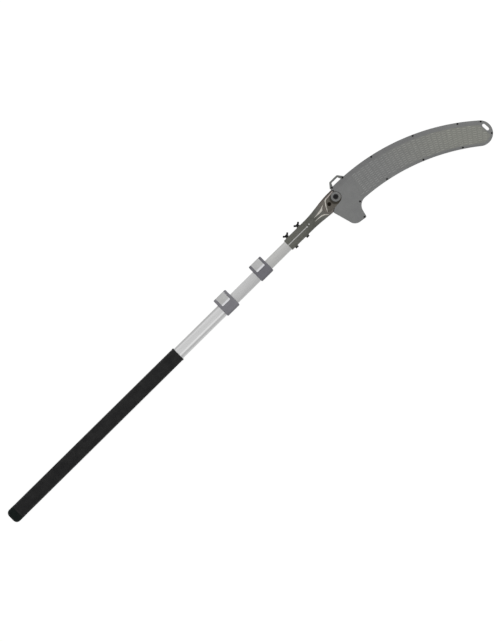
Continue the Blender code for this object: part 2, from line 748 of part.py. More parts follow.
def seat_outline():
    """The casting's outline where it meets the scabbard, open to the rear."""
    heel = (HEEL[0] - SEAT_CLEARANCE, HEEL[1] + SEAT_CLEARANCE)
    far = SEAT_UPPER + SEAT_LOWER
    edge_x = ROOT_X - SEAT_CLEARANCE
    turn = math.degrees(math.acos((edge_x - BLADE_BOLT.x) / SEAT_END_RADIUS))
    return ([(BRACKET_X - SEAT_CORNER, -far), (heel[0], -far), heel]
            + arc(BLADE_BOLT, SEAT_END_RADIUS, notch_line(SEAT_END_RADIUS, heel), turn, 14)
            + [(edge_x, far), (BRACKET_X - SEAT_CORNER, far)])


def head_bracket(home):
    seat_end = TANG_BOLT_X + BLADE_BOLT_SPACING + NOTCH_RADIUS
    stations = run(0, NECK_START, 2) + run(NECK_START, NECK_START + NECK_LENGTH, 8)[1:] + [seat_end]
    origin = (BRACKET_X, 0, 0)
    bracket = loft("head_bracket", [neck_section(x) for x in stations], origin, home, CASTING)
    for x in clamp_bolt_places():
        join(bracket, rod("boss", CLAMP_BOSS_RADIUS, (x, -BOSS_FACE, 0), (x, BOSS_FACE, 0), home, CASTING))
    seat = flat("seat_end", [seat_outline()], 3 * SOCKET[1], (0, 0, 0), home, CASTING)
    boolean(bracket, seat, "INTERSECT")

    socket_end = BRACKET_X + SOCKET_DEPTH
    slit_end = socket_end - SLIT_END_RADIUS
    top = SOCKET[1]
    cut(
        bracket,
        across("socket_bore", [oval(grown(INNER, GAP))], BRACKET_X - GAP, socket_end + GAP,
               home, CASTING),
        box("socket_slit", (BRACKET_X - GAP, -SLIT_WIDTH / 2, 0), (slit_end, SLIT_WIDTH / 2, top),
            home, CASTING),
        rod("slit_end", SLIT_END_RADIUS, (slit_end, 0, 0), (slit_end, 0, top), home, CASTING),
        tang_recess(home),
        wedge_pocket(home),
        rod("tang_bolt_hole", TANG_BOLT_RADIUS + HOLE_CLEARANCE, (*TANG_BOLT, -top),
            (*TANG_BOLT, top), home, CASTING),
        rod("blade_bolt_hole", BLADE_BOLT_RADIUS + HOLE_CLEARANCE, (*BLADE_BOLT, -top),
            (*BLADE_BOLT, top), home, CASTING),
    )
    for x in clamp_bolt_places():
        cut(bracket, clamp_bolt_hole("socket_bolt_hole", x, home))


def tang_recess(home):
    """The recess for the tang, round at the rear and open towards the blade."""
    radius = TANG_RADIUS + GAP
    ahead = TANG_BOLT.x + BLADE_BOLT_SPACING + 2 * TANG_RADIUS
    outline = arc(TANG_BOLT, radius, 90, 270, 20)
    outline += [(ahead, TANG_BOLT.y - radius), (ahead, TANG_BOLT.y + radius)]
    depth = SOCKET[1]
    return flat("tang_recess", [outline], depth, (0, 0, SEAT_LEVEL + depth / 2), home, CASTING)


def wedge_pocket(home):
    """The V-shaped pocket in the neck, whose floor follows the neck's slope."""
    rear_top = max(z for x, y, z in neck_section(POCKET_START))
    front_top = max(z for x, y, z in neck_section(POCKET_END))
    length = POCKET_END - POCKET_START
    slope = math.atan2(rear_top - front_top, length)
    outline = rounded([(0, 0, POCKET_POINT_ROUND), (length, -POCKET_HALF_WIDTH, POCKET_CORNER),
                       (length, POCKET_HALF_WIDTH, POCKET_CORNER)], 4)
    height = SOCKET[1]
    rise = height / 2 - POCKET_DEPTH
    middle = (BRACKET_X + POCKET_START + rise * math.sin(slope), 0, rear_top + rise * math.cos(slope))
    return flat("wedge_pocket", [outline], height, middle, home, CASTING, (0, slope, 0))


def clamp_bolt_places():
    first = BRACKET_X + CLAMP_BOLT_FROM_EDGE
    return (first, first + CLAMP_BOLT_SPACING)


def clamp_bolt_hole(name, x, home):
    reach = BOSS_FACE + GAP
    return rod(name, CLAMP_BOLT_RADIUS + HOLE_CLEARANCE, (x, -reach, 0), (x, reach, 0), home, CASTING)


# Clamp bolts across the socket: levels are distances from the pole's axis along Y

WASHER_SEAT = BOSS_FACE + GAP
NUT_SEAT = WASHER_SEAT + WASHER_THICKNESS + GAP
FACING_Y = (-math.pi / 2, 0, 0)   # a turned piece's top towards +Y


def clamp_bolt(name, x, home):
    head_top = -BOSS_FACE - GAP
    head_end = head_top - HEX_HEAD_HEIGHT
    tip = NUT_SEAT + WING_HUB_HEIGHT + BOLT_PAST_NUT
    bolt = rod(name, CLAMP_BOLT_RADIUS, (x, head_top - GAP, 0), (x, tip, 0), home, BLACK_STEEL)
    join(bolt, rod(name + "_head", SMALL_HEX, (x, head_end, 0), (x, head_top, 0), home,
                   BLACK_STEEL, 6))


def washer(name, x, home):
    hole = CLAMP_BOLT_RADIUS + THREAD_RUNNING
    ring = [arc((0, 0), WASHER_RADIUS, 0, 342, 19), arc((0, 0), hole, 0, 342, 19)]
    flat(name, ring, WASHER_THICKNESS, (x, WASHER_SEAT + WASHER_THICKNESS / 2, 0), home,
         BLACK_STEEL, FACING_Y)


def wing_nut(name, x, home):
    """Tapered hub with two wings that rise outwards, bored for the bolt."""
    at = (x, NUT_SEAT, 0)
    profile = [(0, WING_HUB_HEIGHT), (WING_HUB_TOP, WING_HUB_HEIGHT),
               (WING_HUB_WAIST, WING_HUB_WAIST_AT), (WING_HUB_RADIUS, WING_HUB_EDGE),
               (WING_HUB_RADIUS - WING_HUB_EDGE, 0), (0, 0)]
    nut = turned(name, profile, at, home, BLACK_STEEL, FACING_Y)
    step = WING_BLADE / math.sqrt(2)
    inside = WING_HUB_RADIUS / 4
    for side in (-1, 1):
        wing = rounded([(side * inside, WING_FOOT, 0),
                        (side * WING_HUB_RADIUS, WING_FOOT, WING_ROUND),
                        (side * WING_SPAN, WING_RISE - step, WING_ROUND),
                        (side * (WING_SPAN - step), WING_RISE, WING_ROUND),
                        (side * WING_HUB_TOP, WING_FOOT + 1.5 * step, WING_ROUND),
                        (side * inside, WING_FOOT + 1.5 * step, 0)], 3)
        join(nut, flat(name + "_wing", [wing], WING_THICKNESS, at, home, BLACK_STEEL))
    reach = NUT_SEAT + WING_HUB_HEIGHT + WING_RISE
    cut(nut, rod(name + "_bore", CLAMP_BOLT_RADIUS + THREAD_RUNNING, (x, 0, 0), (x, reach, 0),
                 home, BLACK_STEEL))


# Blade and its fixings

def hook_point():
    return (CURVE_TOP_X - HOOK_POINT_BACK, CURVE_TOP_Y - HOOK_POINT_DROP)


def tooth_points():
    count = int((TEETH_END - TEETH_START) / TOOTH_PITCH)
    points = []
    for i in range(count):
        valley = TEETH_START + i * TOOTH_PITCH
        tip = valley + TOOTH_RAKE * TOOTH_PITCH
        points.append(on_curve(valley, tooth_line(valley)))
        points.append(on_curve(tip, tooth_line(tip) - TOOTH_DEPTH))
    last = TEETH_START + count * TOOTH_PITCH
    points.append(on_curve(last, tooth_line(last)))
    return points


def blade_outline():
    low = TANG_BOLT.y - TANG_RADIUS
    hook_root = (TANG_BOLT.x + HOOK_ROOT_AHEAD, low)
    teeth = tooth_points()
    nose_start = TEETH_END + TOOTH_PITCH
    nose_end = TEETH_END + NOSE_LENGTH
    nose = rounded([
        (*on_curve(nose_start, tooth_line(TEETH_END)), NOSE_HEEL_ROUND),
        (*on_curve(nose_end, tooth_line(TEETH_END) / 3), NOSE_CHIN_ROUND),
        (*on_curve(nose_end, blade_back(nose_end)), NOSE_ROUND),
        (*on_curve(nose_start - 2 * NOSE_ROUND, blade_back(nose_start)), 0),
    ])
    back = [on_curve(s, blade_back(s)) for s in run(nose_start - 3 * NOSE_ROUND, 0, 16)]
    return (arc(TANG_BOLT, TANG_RADIUS, 90, 270, 20)
            + [hook_root]
            + bow(hook_root, hook_point(), -HOOK_OUTER_BOW, 8) + [hook_point()]
            + bow(hook_point(), teeth[0], HOOK_INNER_BOW, 8)
            + teeth + nose + back)


def saw_blade(home):
    blade = flat("saw_blade", [blade_outline()], BLADE_THICKNESS, (0, 0, 0), home, BLADE_STEEL)
    high = SOCKET[1]
    cut(blade,
        rod("tang_hole", TANG_BOLT_RADIUS + HOLE_CLEARANCE, (*TANG_BOLT, -high), (*TANG_BOLT, high),
            home, BLADE_STEEL),
        rod("blade_hole", BLADE_BOLT_RADIUS + HOLE_CLEARANCE, (*BLADE_BOLT, -high),
            (*BLADE_BOLT, high), home, BLADE_STEEL))


def clamping_disc(home):
    top = DISC_HEIGHT
    profile = [(BLADE_BOLT_RADIUS + HOLE_CLEARANCE, top - DISC_SINK_DEPTH),
               (DISC_SINK_RADIUS, top - DISC_SINK_DEPTH),
               (DISC_SINK_RADIUS, top),
               (DISC_RADIUS - DISC_CHAMFER, top),
               (DISC_RADIUS, top - DISC_CHAMFER),
               (DISC_RADIUS, 0),
               (BLADE_BOLT_RADIUS + HOLE_CLEARANCE, 0)]
    turned("clamping_disc", profile + profile[:1], (*BLADE_BOLT, DISC_BOTTOM), home, DISC_GREY,
           sides=32)


def blade_bolt(home):
    seat = DISC_BOTTOM + DISC_HEIGHT - DISC_SINK_DEPTH + GAP
    tip = SEAT_BOTTOM - GAP - BLADE_NUT_HEIGHT - BOLT_PAST_NUT
    bolt = rod("blade_bolt", BLADE_BOLT_RADIUS, (*BLADE_BOLT, tip), (*BLADE_BOLT, seat + GAP), home,
               BLACK_STEEL)
    join(bolt, rod("blade_bolt_head", BLADE_HEX, (*BLADE_BOLT, seat),
                   (*BLADE_BOLT, seat + BLADE_HEX_HEIGHT), home, BLACK_STEEL, 6))


def tang_bolt(home):
    seat = BLADE_TOP + GAP
    tip = SEAT_BOTTOM - GAP - TANG_NUT_HEIGHT - BOLT_PAST_NUT
    dome = [(TANG_HEAD_RADIUS * math.sin(a), seat + TANG_HEAD_HEIGHT * (0.35 + 0.65 * math.cos(a)))
            for a in run(0, math.pi / 2, 4)]
    profile = dome + [(TANG_HEAD_RADIUS, seat), (TANG_BOLT_RADIUS, seat), (TANG_BOLT_RADIUS, tip),
                      (0, tip)]
    turned("tang_bolt", profile, (*TANG_BOLT, 0), home, BLACK_STEEL)


def back_nut(name, place, corner, radius, height, home):
    """Hexagonal nut under the blade seat."""
    top = SEAT_BOTTOM - GAP
    nut = rod(name, corner, (*place, top - height), (*place, top), home, STEEL, 6)
    cut(nut, rod(name + "_bore", radius + THREAD_RUNNING, (*place, top - 2 * height),
                 (*place, top + height), home, STEEL))


# Scabbard

TIP_CENTRE = Vector(on_curve(SHEATH_TIP_AT))
TIP_FACING = -math.degrees(SHEATH_TIP_AT / CURVE_RADIUS)


def lobe_throat():
    return on_curve(LOBE_THROAT_AT, -sheath_half(LOBE_THROAT_AT))


def sheath_outline():
    """Lobe, inner edge, round tip, outer edge, then the root edge with its notch."""
    back = (CURVE_TOP_X - LOBE_BACK, CURVE_TOP_Y - LOBE_BACK_DROP)
    point = (CURVE_TOP_X + LOBE_POINT_AHEAD, CURVE_TOP_Y - LOBE_POINT_DROP)
    lobe = [(*HEEL, LOBE_HEEL_ROUND), (*back, LOBE_BACK_ROUND), (*point, LOBE_POINT_ROUND),
            (*lobe_throat(), LOBE_THROAT_ROUND)]
    edge_start = LOBE_THROAT_AT + LOBE_THROAT_ROUND
    inner = [on_curve(s, -sheath_half(s)) for s in run(edge_start, SHEATH_TIP_AT, 16)]
    tip = arc(TIP_CENTRE, SHEATH_HALF_TIP, TIP_FACING - 90, TIP_FACING + 90, 16)
    outer = [on_curve(s, sheath_half(s)) for s in run(SHEATH_TIP_AT, -SHEATH_ROOT_AT, 18)]
    turn = math.degrees(math.acos((ROOT_X - BLADE_BOLT.x) / NOTCH_RADIUS))
    notch = arc(BLADE_BOLT, NOTCH_RADIUS, turn, notch_line(NOTCH_RADIUS, HEEL), 14)
    plain = inner[:-1] + tip + outer[1:] + notch
    return rounded(lobe + [(x, y, 0) for x, y in plain])


def cavity_outline():
    """The room for the blade and its hook, open where the blade comes out."""
    def room(along):
        return sheath_half(along) - SHEATH_RIM

    point = Vector((CURVE_TOP_X + LOBE_POINT_AHEAD, CURVE_TOP_Y - LOBE_POINT_DROP))
    upward = (Vector(lobe_throat()) - point).normalized()
    base = point + Vector((-upward.y, upward.x)) * SHEATH_RIM
    floor = point.y + SHEATH_RIM + LOBE_RIM
    corner = base + upward * (floor - base.y) / upward.y
    throat = base + upward * (lobe_throat()[1] + SHEATH_RIM - base.y) / upward.y
    outside = HEEL[0] - SHEATH_RIM
    rear = -SHEATH_ROOT_AT - SHEATH_RIM
    end = CAVITY_END - 2 * CAVITY_ROUND
    top = [on_curve(s, room(s)) for s in run(rear, end, 14)]
    bottom = [on_curve(s, -room(s)) for s in run(end, LOBE_THROAT_AT + LOBE_THROAT_ROUND, 12)]
    return rounded(
        [(outside, top[0][1], 0)] + [(x, y, 0) for x, y in top]
        + [(*on_curve(CAVITY_END, room(CAVITY_END)), CAVITY_ROUND),
           (*on_curve(CAVITY_END, -room(CAVITY_END)), CAVITY_ROUND)]
        + [(x, y, 0) for x, y in bottom]
        + [(*throat, LOBE_THROAT_ROUND), (*corner, LOBE_RIM), (outside, floor, 0)])


def eye_outline():
    """The hang eye: a slot that follows the round tip."""
    turn = math.radians(EYE_TURN)
    centre = TIP_CENTRE + Vector((math.cos(turn), math.sin(turn))) * EYE_FROM_TIP
    along = Vector((-math.sin(turn), math.cos(turn))) * (EYE_LENGTH - EYE_WIDTH) / 2
    return (arc(centre + along, EYE_WIDTH / 2, EYE_TURN, EYE_TURN + 180, 8)
            + arc(centre - along, EYE_WIDTH / 2, EYE_TURN + 180, EYE_TURN + 360, 8))


def rivet_places():
    """Where the rivets join the shells, from the loop's feet round to the lobe's point."""
    loop = [on_curve(s, sheath_half(s) - LOOP_RIVET_INSET)
            for s in (-LOOP_FOOT_BACK, LOOP_FOOT_AHEAD)]
    top = [on_curve(s, sheath_half(s) - RIVET_INSET)
           for s in (RIVET_TOP_FIRST + i * RIVET_SPACING for i in range(3))]
    reach = SHEATH_HALF_TIP - RIVET_INSET
    tip = [arc(TIP_CENTRE, reach, turn, turn, 1)[0] for turn in (RIVET_TIP_TURN, -RIVET_TIP_TURN)]
    bottom = [on_curve(s, -sheath_half(s) + RIVET_INSET)
              for s in (RIVET_BOTTOM_FIRST + i * RIVET_SPACING for i in (2, 1, 0))]
    throat = [on_curve(RIVET_THROAT_AT, RIVET_THROAT_INSET - SHEATH_HALF_ROOT)]
    point = [(CURVE_TOP_X + LOBE_POINT_AHEAD - RIVET_POINT_BACK,
              CURVE_TOP_Y - LOBE_POINT_DROP + RIVET_POINT_RISE)]
    return loop + top + tip + bottom + throat + point


def loop_outline(room=0.0):
    """Inverted U over the scabbard's edge, its two feet held between the shells."""
    edge = on_curve(0, SHEATH_HALF_ROOT)[1]
    near = CURVE_TOP_X - LOOP_FOOT_BACK
    far = CURVE_TOP_X + LOOP_FOOT_AHEAD
    out = LOOP_FOOT_OUT + room
    inward = LOOP_FOOT_IN + room
    top = edge + LOOP_RISE
    under = top - LOOP_BAR
    foot = edge - LOOP_FOOT_DEPTH - room
    drop = LOOP_FOOT_AHEAD ** 2 / (2 * (CURVE_RADIUS + SHEATH_HALF_ROOT))
    return rounded([
        (near - inward, foot, LOOP_FOOT_ROUND),
        (near - out, edge, LOOP_INNER_ROUND),
        (near + LOOP_TOP_OUT - room, top, LOOP_ROUND),
        (far - LOOP_TOP_OUT + room, top, LOOP_ROUND),
        (far + out, edge - drop, LOOP_INNER_ROUND),
        (far + inward, foot - drop, LOOP_FOOT_ROUND),
        (far - inward, foot - drop, LOOP_FOOT_ROUND),
        (far - inward, edge, LOOP_INNER_ROUND),
        (far - LOOP_TOP_IN - room, under, LOOP_INNER_ROUND),
        (near + LOOP_TOP_IN + room, under, LOOP_INNER_ROUND),
        (near + inward, edge, LOOP_INNER_ROUND),
        (near + inward, foot, LOOP_FOOT_ROUND),
    ], 3)


def rivet_hole(name, place, home):
    return rod(name, RIVET_RADIUS + HOLE_CLEARANCE, (*place, -SHEATH_THICKNESS),
               (*place, SHEATH_THICKNESS), home, SHELL_GREY, 12)


def shell(name, side, home):
    """One half of the scabbard: side is 1 for the front shell and -1 for the back one."""
    whole = flat(name, [sheath_outline()], SHEATH_THICKNESS, (0, 0, 0), home, SHELL_GREY,
                 edge=SHEATH_EDGE)
    for place in rivet_places()[:2]:
        join(whole, rod(name + "_boss", LOOP_BOSS_RADIUS, (*place, -SHEATH_HALF),
                        (*place, SHEATH_HALF), home, SHELL_GREY))
    reach = SHEATH_TIP_AT + SHEATH_HALF_TIP + LOBE_HEEL_BACK
    other = sorted((side * GAP / 2, -side * SHEATH_THICKNESS))
    cut(
        whole,
        box(name + "_other_half", (HEEL[0] - reach, -reach, other[0]),
            (HEEL[0] + reach, reach, other[1]), home, SHELL_GREY),
        flat(name + "_cavity", [cavity_outline()], 2 * (SHEATH_HALF - SHEATH_FACE), (0, 0, 0),
             home, SHELL_GREY),
        flat(name + "_eye", [eye_outline()], 2 * SHEATH_THICKNESS, (0, 0, 0), home, SHELL_GREY),
        flat(name + "_loop_pocket", [loop_outline(GAP)], LOOP_THICKNESS + 2 * GAP, (0, 0, 0),
             home, SHELL_GREY),
    )
    for place in rivet_places():
        cut(whole, rivet_hole(name + "_rivet_hole", place, home))


def belt_loop(home):
    loop = flat("belt_loop", [loop_outline()], LOOP_THICKNESS, (0, 0, 0), home, LOOP_GREY)
    for place in rivet_places()[:2]:
        cut(loop, rivet_hole("loop_rivet_hole", place, home))


def rivet(name, place, home):
    seat = SHEATH_HALF + GAP
    head = [(RIVET_HEAD_RADIUS * math.sin(a), seat + RIVET_HEAD_HEIGHT * math.cos(a))
            for a in run(0, math.pi / 2, 3)]
    profile = head + [(RIVET_RADIUS, seat)]
    mirrored = [(radius, -height) for radius, height in reversed(profile)]
    turned(name, profile + mirrored, (*place, 0), home, RIVET_BLACK, sides=12)


# The saw, body by body

saw = axis_empty("pole_saw_frame", (0, 0, 0))

butt_cap(saw)
grip(saw)
outer_tube = tube("outer_tube", OUTER, OUTER_WALL, GRIP_X, LOWER.tube_end, saw)
cut_clamped_tube(outer_tube, LOWER, saw)
collar(LOWER, saw)
brake_shoe(LOWER, saw)
hinge_pin(LOWER, saw)
collar_screw(LOWER, "lower_collar_screw", saw)
cam_lever(LOWER, axis_empty("lower_lever_axis", (LOWER.middle, LOWER.pin_y, PIN_HEIGHT), saw))

middle_pole = axis_empty("middle_pole_slide", (MIDDLE_TAIL_X, 0, 0), saw)
tail_guide("middle_tail_guide", MIDDLE, MIDDLE_WALL, OUTER_BORE, MIDDLE_TAIL_X, middle_pole)
middle_tube = tube("middle_tube", MIDDLE, MIDDLE_WALL, MIDDLE_TAIL_X + TAIL_FLANGE + GAP,
                   UPPER.tube_end, middle_pole)
cut_clamped_tube(middle_tube, UPPER, middle_pole)
collar(UPPER, middle_pole)
brake_shoe(UPPER, middle_pole)
hinge_pin(UPPER, middle_pole)
collar_screw(UPPER, "upper_collar_screw", middle_pole)
cam_lever(UPPER, axis_empty("upper_lever_axis", (UPPER.middle, UPPER.pin_y, PIN_HEIGHT), middle_pole))

inner_pole = axis_empty("inner_pole_slide", (INNER_TAIL_X, 0, 0), middle_pole)
tail_guide("inner_tail_guide", INNER, INNER_WALL, MIDDLE_BORE, INNER_TAIL_X, inner_pole)
inner_tube = tube("inner_tube", INNER, INNER_WALL, INNER_TAIL_X + TAIL_FLANGE + GAP,
                  BRACKET_X + SOCKET_DEPTH, inner_pole)
head_bracket(inner_pole)
for label, bolt_x in zip(("rear", "front"), clamp_bolt_places()):
    cut(inner_tube, clamp_bolt_hole("tube_bolt_hole", bolt_x, inner_pole))
    clamp_bolt(label + "_clamp_bolt", bolt_x, inner_pole)
    washer_slide = axis_empty(label + "_washer_slide", (bolt_x, WASHER_SEAT, 0), inner_pole)
    washer(label + "_washer", bolt_x, washer_slide)
    nut_axis = axis_empty(label + "_wing_nut_axis", (bolt_x, NUT_SEAT, 0), washer_slide)
    wing_nut(label + "_wing_nut", bolt_x, nut_axis)
saw_blade(inner_pole)
clamping_disc(inner_pole)
blade_bolt(inner_pole)
tang_bolt(inner_pole)
back_nut("blade_bolt_nut", BLADE_BOLT, BLADE_HEX, BLADE_BOLT_RADIUS, BLADE_NUT_HEIGHT, inner_pole)
back_nut("tang_bolt_nut", TANG_BOLT, SMALL_HEX, TANG_BOLT_RADIUS, TANG_NUT_HEIGHT, inner_pole)

scabbard = axis_empty("scabbard_axis", (*CURVE_CENTRE, 0), inner_pole)
shell("scabbard_front_shell", 1, scabbard)
shell("scabbard_back_shell", -1, scabbard)
belt_loop(scabbard)
for number, rivet_place in enumerate(rivet_places(), 1):
    rivet(f"scabbard_rivet_{number:02d}", rivet_place, scabbard)


# Set the saw down on z = 0, centred on its own box

def world_corners():
    depsgraph = bpy.context.evaluated_depsgraph_get()
    for piece in parts.objects:
        if piece.type == "MESH":
            solid = piece.evaluated_get(depsgraph)
            yield from (solid.matrix_world @ vertex.co for vertex in solid.data.vertices)


corners = list(world_corners())
low = [min(corner[i] for corner in corners) for i in range(3)]
high = [max(corner[i] for corner in corners) for i in range(3)]
saw.location = (-(low[0] + high[0]) / 2, -(low[1] + high[1]) / 2, -low[2])
bpy.context.view_layer.update()
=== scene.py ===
# %% [markdown]
# # A telescopic pole saw
# The saw lies flat, pushed together, with its curved blade in a riveted scabbard. Its solid
# parts come ready made from the frame; this lesson dresses them. Some parts only get a better
# finish, and others are modelled again with finer edges and the relief that the solids leave out.

# %% Load the frame
import json
import math

import bmesh
import bpy
from mathutils import Matrix, Vector


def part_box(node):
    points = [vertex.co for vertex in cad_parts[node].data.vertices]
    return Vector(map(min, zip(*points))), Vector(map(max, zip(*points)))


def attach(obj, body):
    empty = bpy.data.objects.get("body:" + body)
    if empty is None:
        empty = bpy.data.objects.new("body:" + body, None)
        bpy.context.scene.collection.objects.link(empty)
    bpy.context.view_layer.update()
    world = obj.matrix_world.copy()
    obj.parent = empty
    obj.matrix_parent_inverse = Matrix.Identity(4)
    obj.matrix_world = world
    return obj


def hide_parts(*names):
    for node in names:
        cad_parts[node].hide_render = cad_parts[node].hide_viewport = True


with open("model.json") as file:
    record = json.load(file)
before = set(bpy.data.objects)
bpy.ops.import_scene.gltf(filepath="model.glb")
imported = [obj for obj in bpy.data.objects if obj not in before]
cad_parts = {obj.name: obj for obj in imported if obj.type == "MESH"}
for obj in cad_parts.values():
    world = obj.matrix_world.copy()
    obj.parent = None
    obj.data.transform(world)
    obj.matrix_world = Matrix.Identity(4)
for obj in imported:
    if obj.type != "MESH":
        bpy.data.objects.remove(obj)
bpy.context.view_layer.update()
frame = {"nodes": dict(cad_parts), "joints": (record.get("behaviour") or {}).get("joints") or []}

scene = bpy.context.scene
print("nodes in the frame:", len(frame["nodes"]))

# %% [markdown]
# Every new piece is modelled on a bench where x = 0 is the end of the butt and y = z = 0 is the
# middle of the pole, because then a distance along the pole can be read like a ruler. The last
# step for each piece moves its mesh to the saw. The boxes of the solids give the places, and the
# scabbard's joint gives the centre of the blade's curve.

# %% The bench
MM = 0.001
GAP = 0.3 * MM                    # between pieces that are seated on each other
tube_low, tube_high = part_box("outer_tube")
BUTT = Vector((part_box("butt_cap")[0].x, (tube_low.y + tube_high.y) / 2,
               (tube_low.z + tube_high.z) / 2))


def on_bench(node):
    """A node's lowest and highest corner, measured from the butt."""
    low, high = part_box(node)
    return low - BUTT, high - BUTT


def middle_of(node):
    low, high = on_bench(node)
    return (low + high) / 2


def size_of(node):
    low, high = on_bench(node)
    return high - low


draw_joint = next(joint for joint in frame["joints"] if joint["name"] == "scabbard_draw")
CURVE_CENTRE = Vector(draw_joint["pos_m"]) - BUTT
print("the pole's axis is at y, z:", round(BUTT.y, 5), round(BUTT.z, 5))
print("the blade's curve is centred at", [round(value, 5) for value in CURVE_CENTRE])

# %% [markdown]
# A finish is a small graph of nodes. These helpers keep such a graph readable: each adds one node,
# feeds its sockets with values or with other nodes' outputs, and hands back the output.


# %% Helpers for graphs of nodes
def feed(tree, socket, value):
    """Links a socket, or sets it. A colour may be given as three numbers."""
    if isinstance(value, bpy.types.NodeSocket):
        tree.links.new(value, socket)
    elif socket.type == "RGBA" and len(value) == 3:
        socket.default_value = (*value, 1.0)
    else:
        socket.default_value = value


def put(tree, kind, settings=None, **sockets):
    """A new node. Sockets go by name, or by number after an underscore."""
    node = tree.nodes.new("ShaderNode" + kind)
    for key, value in (settings or {}).items():
        setattr(node, key, value)
    for key, value in sockets.items():
        feed(tree, node.inputs[int(key[1:]) if key[1:].isdigit() else key.replace("_", " ")], value)
    return node


def mixed(tree, share, first, second, blend="MIX"):
    """A colour between two others."""
    node = put(tree, "Mix", {"data_type": "RGBA", "blend_type": blend}, _0=share, _6=first, _7=second)
    return node.outputs[2]


def tinted(tree, share, base, tint):
    """The base colour where share is 0, and the base times the tint where it is 1."""
    return mixed(tree, share, base, mixed(tree, 1.0, base, tint, "MULTIPLY"))


def ranged(tree, value, low, high, to_low, to_high):
    node = put(tree, "MapRange", _0=value, _1=low, _2=high, _3=to_low, _4=to_high)
    return node.outputs[0]


def calculated(tree, operation, *values):
    sockets = {f"_{number}": value for number, value in enumerate(values)}
    return put(tree, "Math", {"operation": operation}, **sockets).outputs[0]


def coordinate(tree, place, axis):
    return put(tree, "SeparateXYZ", Vector=place).outputs[axis]


def wavy_distance(tree, place, centre, grain, detail, swing):
    """How far the painted place is from a centre, made uneven by noise."""
    away = put(tree, "VectorMath", {"operation": "DISTANCE"}, _0=place, _1=centre).outputs["Value"]
    noise = put(tree, "TexNoise", Vector=place, Scale=grain, Detail=detail).outputs[0]
    return calculated(tree, "MULTIPLY_ADD", noise, swing, away)


# %% [markdown]
# In every finish cloudy noise mixes two near colours, a finer noise moves the roughness and the
# bump, and on request the rounded-edge node finds the corners, where handling has rubbed the
# surface lighter. All of it reads object coordinates, so the grain has a real size.

# %% A helper that makes a finish
EDGE_WIDTH = 0.7 * MM
RELIEF_DEPTH = 0.2 * MM
FINE_GRAIN = 9                    # fine grains to each cloud
CLOUD_BAND = (0.35, 0.65)         # the part of the noise that is spread over the whole range
FINE_BAND = (0.3, 0.7)
SPECKLE = (0.92, 1.08)
CORNER_FACING = (0.99, 0.86)      # how far the two normals agree, off a corner and on it
PATCH_BAND = (0.42, 0.62)
LEAST_WEAR = 0.25


def edge_mask(tree, break_up):
    """White on corners, broken up by noise: the rounded normal turns away from the plain one."""
    soft = put(tree, "Bevel", {"samples": 6}, Radius=EDGE_WIDTH)
    plain = put(tree, "NewGeometry")
    facing = put(tree, "VectorMath", {"operation": "DOT_PRODUCT"}, _0=soft.outputs[0],
                 _1=plain.outputs["Normal"])
    corner = ranged(tree, facing.outputs["Value"], *CORNER_FACING, 0.0, 1.0)
    patchy = ranged(tree, break_up, *PATCH_BAND, LEAST_WEAR, 1.0)
    return calculated(tree, "MULTIPLY", corner, patchy)


def finish(name, colour, fleck, grain=60.0, stretch=(1, 1, 1), roughness=(0.45, 0.6), bump=0.15,
           metallic=0.0, wear=None, tint=None, shine=0.3):
    """colour and fleck are mixed in clouds of that grain; wear is the colour of rubbed edges."""
    material = bpy.data.materials.new(name)
    material.use_nodes = True
    tree = material.node_tree
    shader = tree.nodes["Principled BSDF"]
    place = put(tree, "TexCoord").outputs["Object"]
    laid = put(tree, "Mapping", _0=place, Scale=stretch).outputs[0]
    cloud = put(tree, "TexNoise", Vector=laid, Scale=grain, Detail=5.0, Roughness=0.6).outputs[0]
    fine = put(tree, "TexNoise", Vector=laid, Scale=grain * FINE_GRAIN, Detail=3.0,
               Roughness=0.7).outputs[0]
    base = mixed(tree, ranged(tree, cloud, *CLOUD_BAND, 0.0, 1.0), colour, fleck)
    level = ranged(tree, fine, *FINE_BAND, *SPECKLE)
    speckle = put(tree, "CombineColor", _0=level, _1=level, _2=level).outputs[0]
    base = mixed(tree, 1.0, base, speckle, "MULTIPLY")
    if tint:
        base = tint(tree, base, place)
    if wear:
        base = mixed(tree, edge_mask(tree, cloud), base, wear)
    tree.links.new(base, shader.inputs["Base Color"])
    tree.links.new(ranged(tree, fine, *FINE_BAND, *roughness), shader.inputs["Roughness"])
    shader.inputs["Metallic"].default_value = metallic
    shader.inputs["Specular IOR Level"].default_value = shine
    relief = put(tree, "Bump", Strength=bump, Distance=RELIEF_DEPTH, Height=fine)
    tree.links.new(relief.outputs[0], shader.inputs["Normal"])
    material.diffuse_color = (*colour, 1.0)
    return material


print("a finish has a grain with", FINE_GRAIN, "fine grains to each cloud")

# %% [markdown]
# The grip and the butt cap are black rubber, almost without shine, and dust sits in the grain.
# The cap is a shade greener than the grip, as moulded rubber of another batch often is.

# %% Rubber finishes
GRIP_RUBBER = finish("grip_rubber", (0.009, 0.009, 0.0095), (0.015, 0.015, 0.015), 45.0,
                     roughness=(0.55, 0.75), bump=0.5, wear=(0.03, 0.03, 0.03), shine=0.16)
CAP_RUBBER = finish("cap_rubber", (0.003, 0.0055, 0.005), (0.006, 0.009, 0.008), 70.0,
                    roughness=(0.5, 0.7), bump=0.4, wear=(0.02, 0.024, 0.022), shine=0.08)
print("rubber:", GRIP_RUBBER.name, CAP_RUBBER.name)
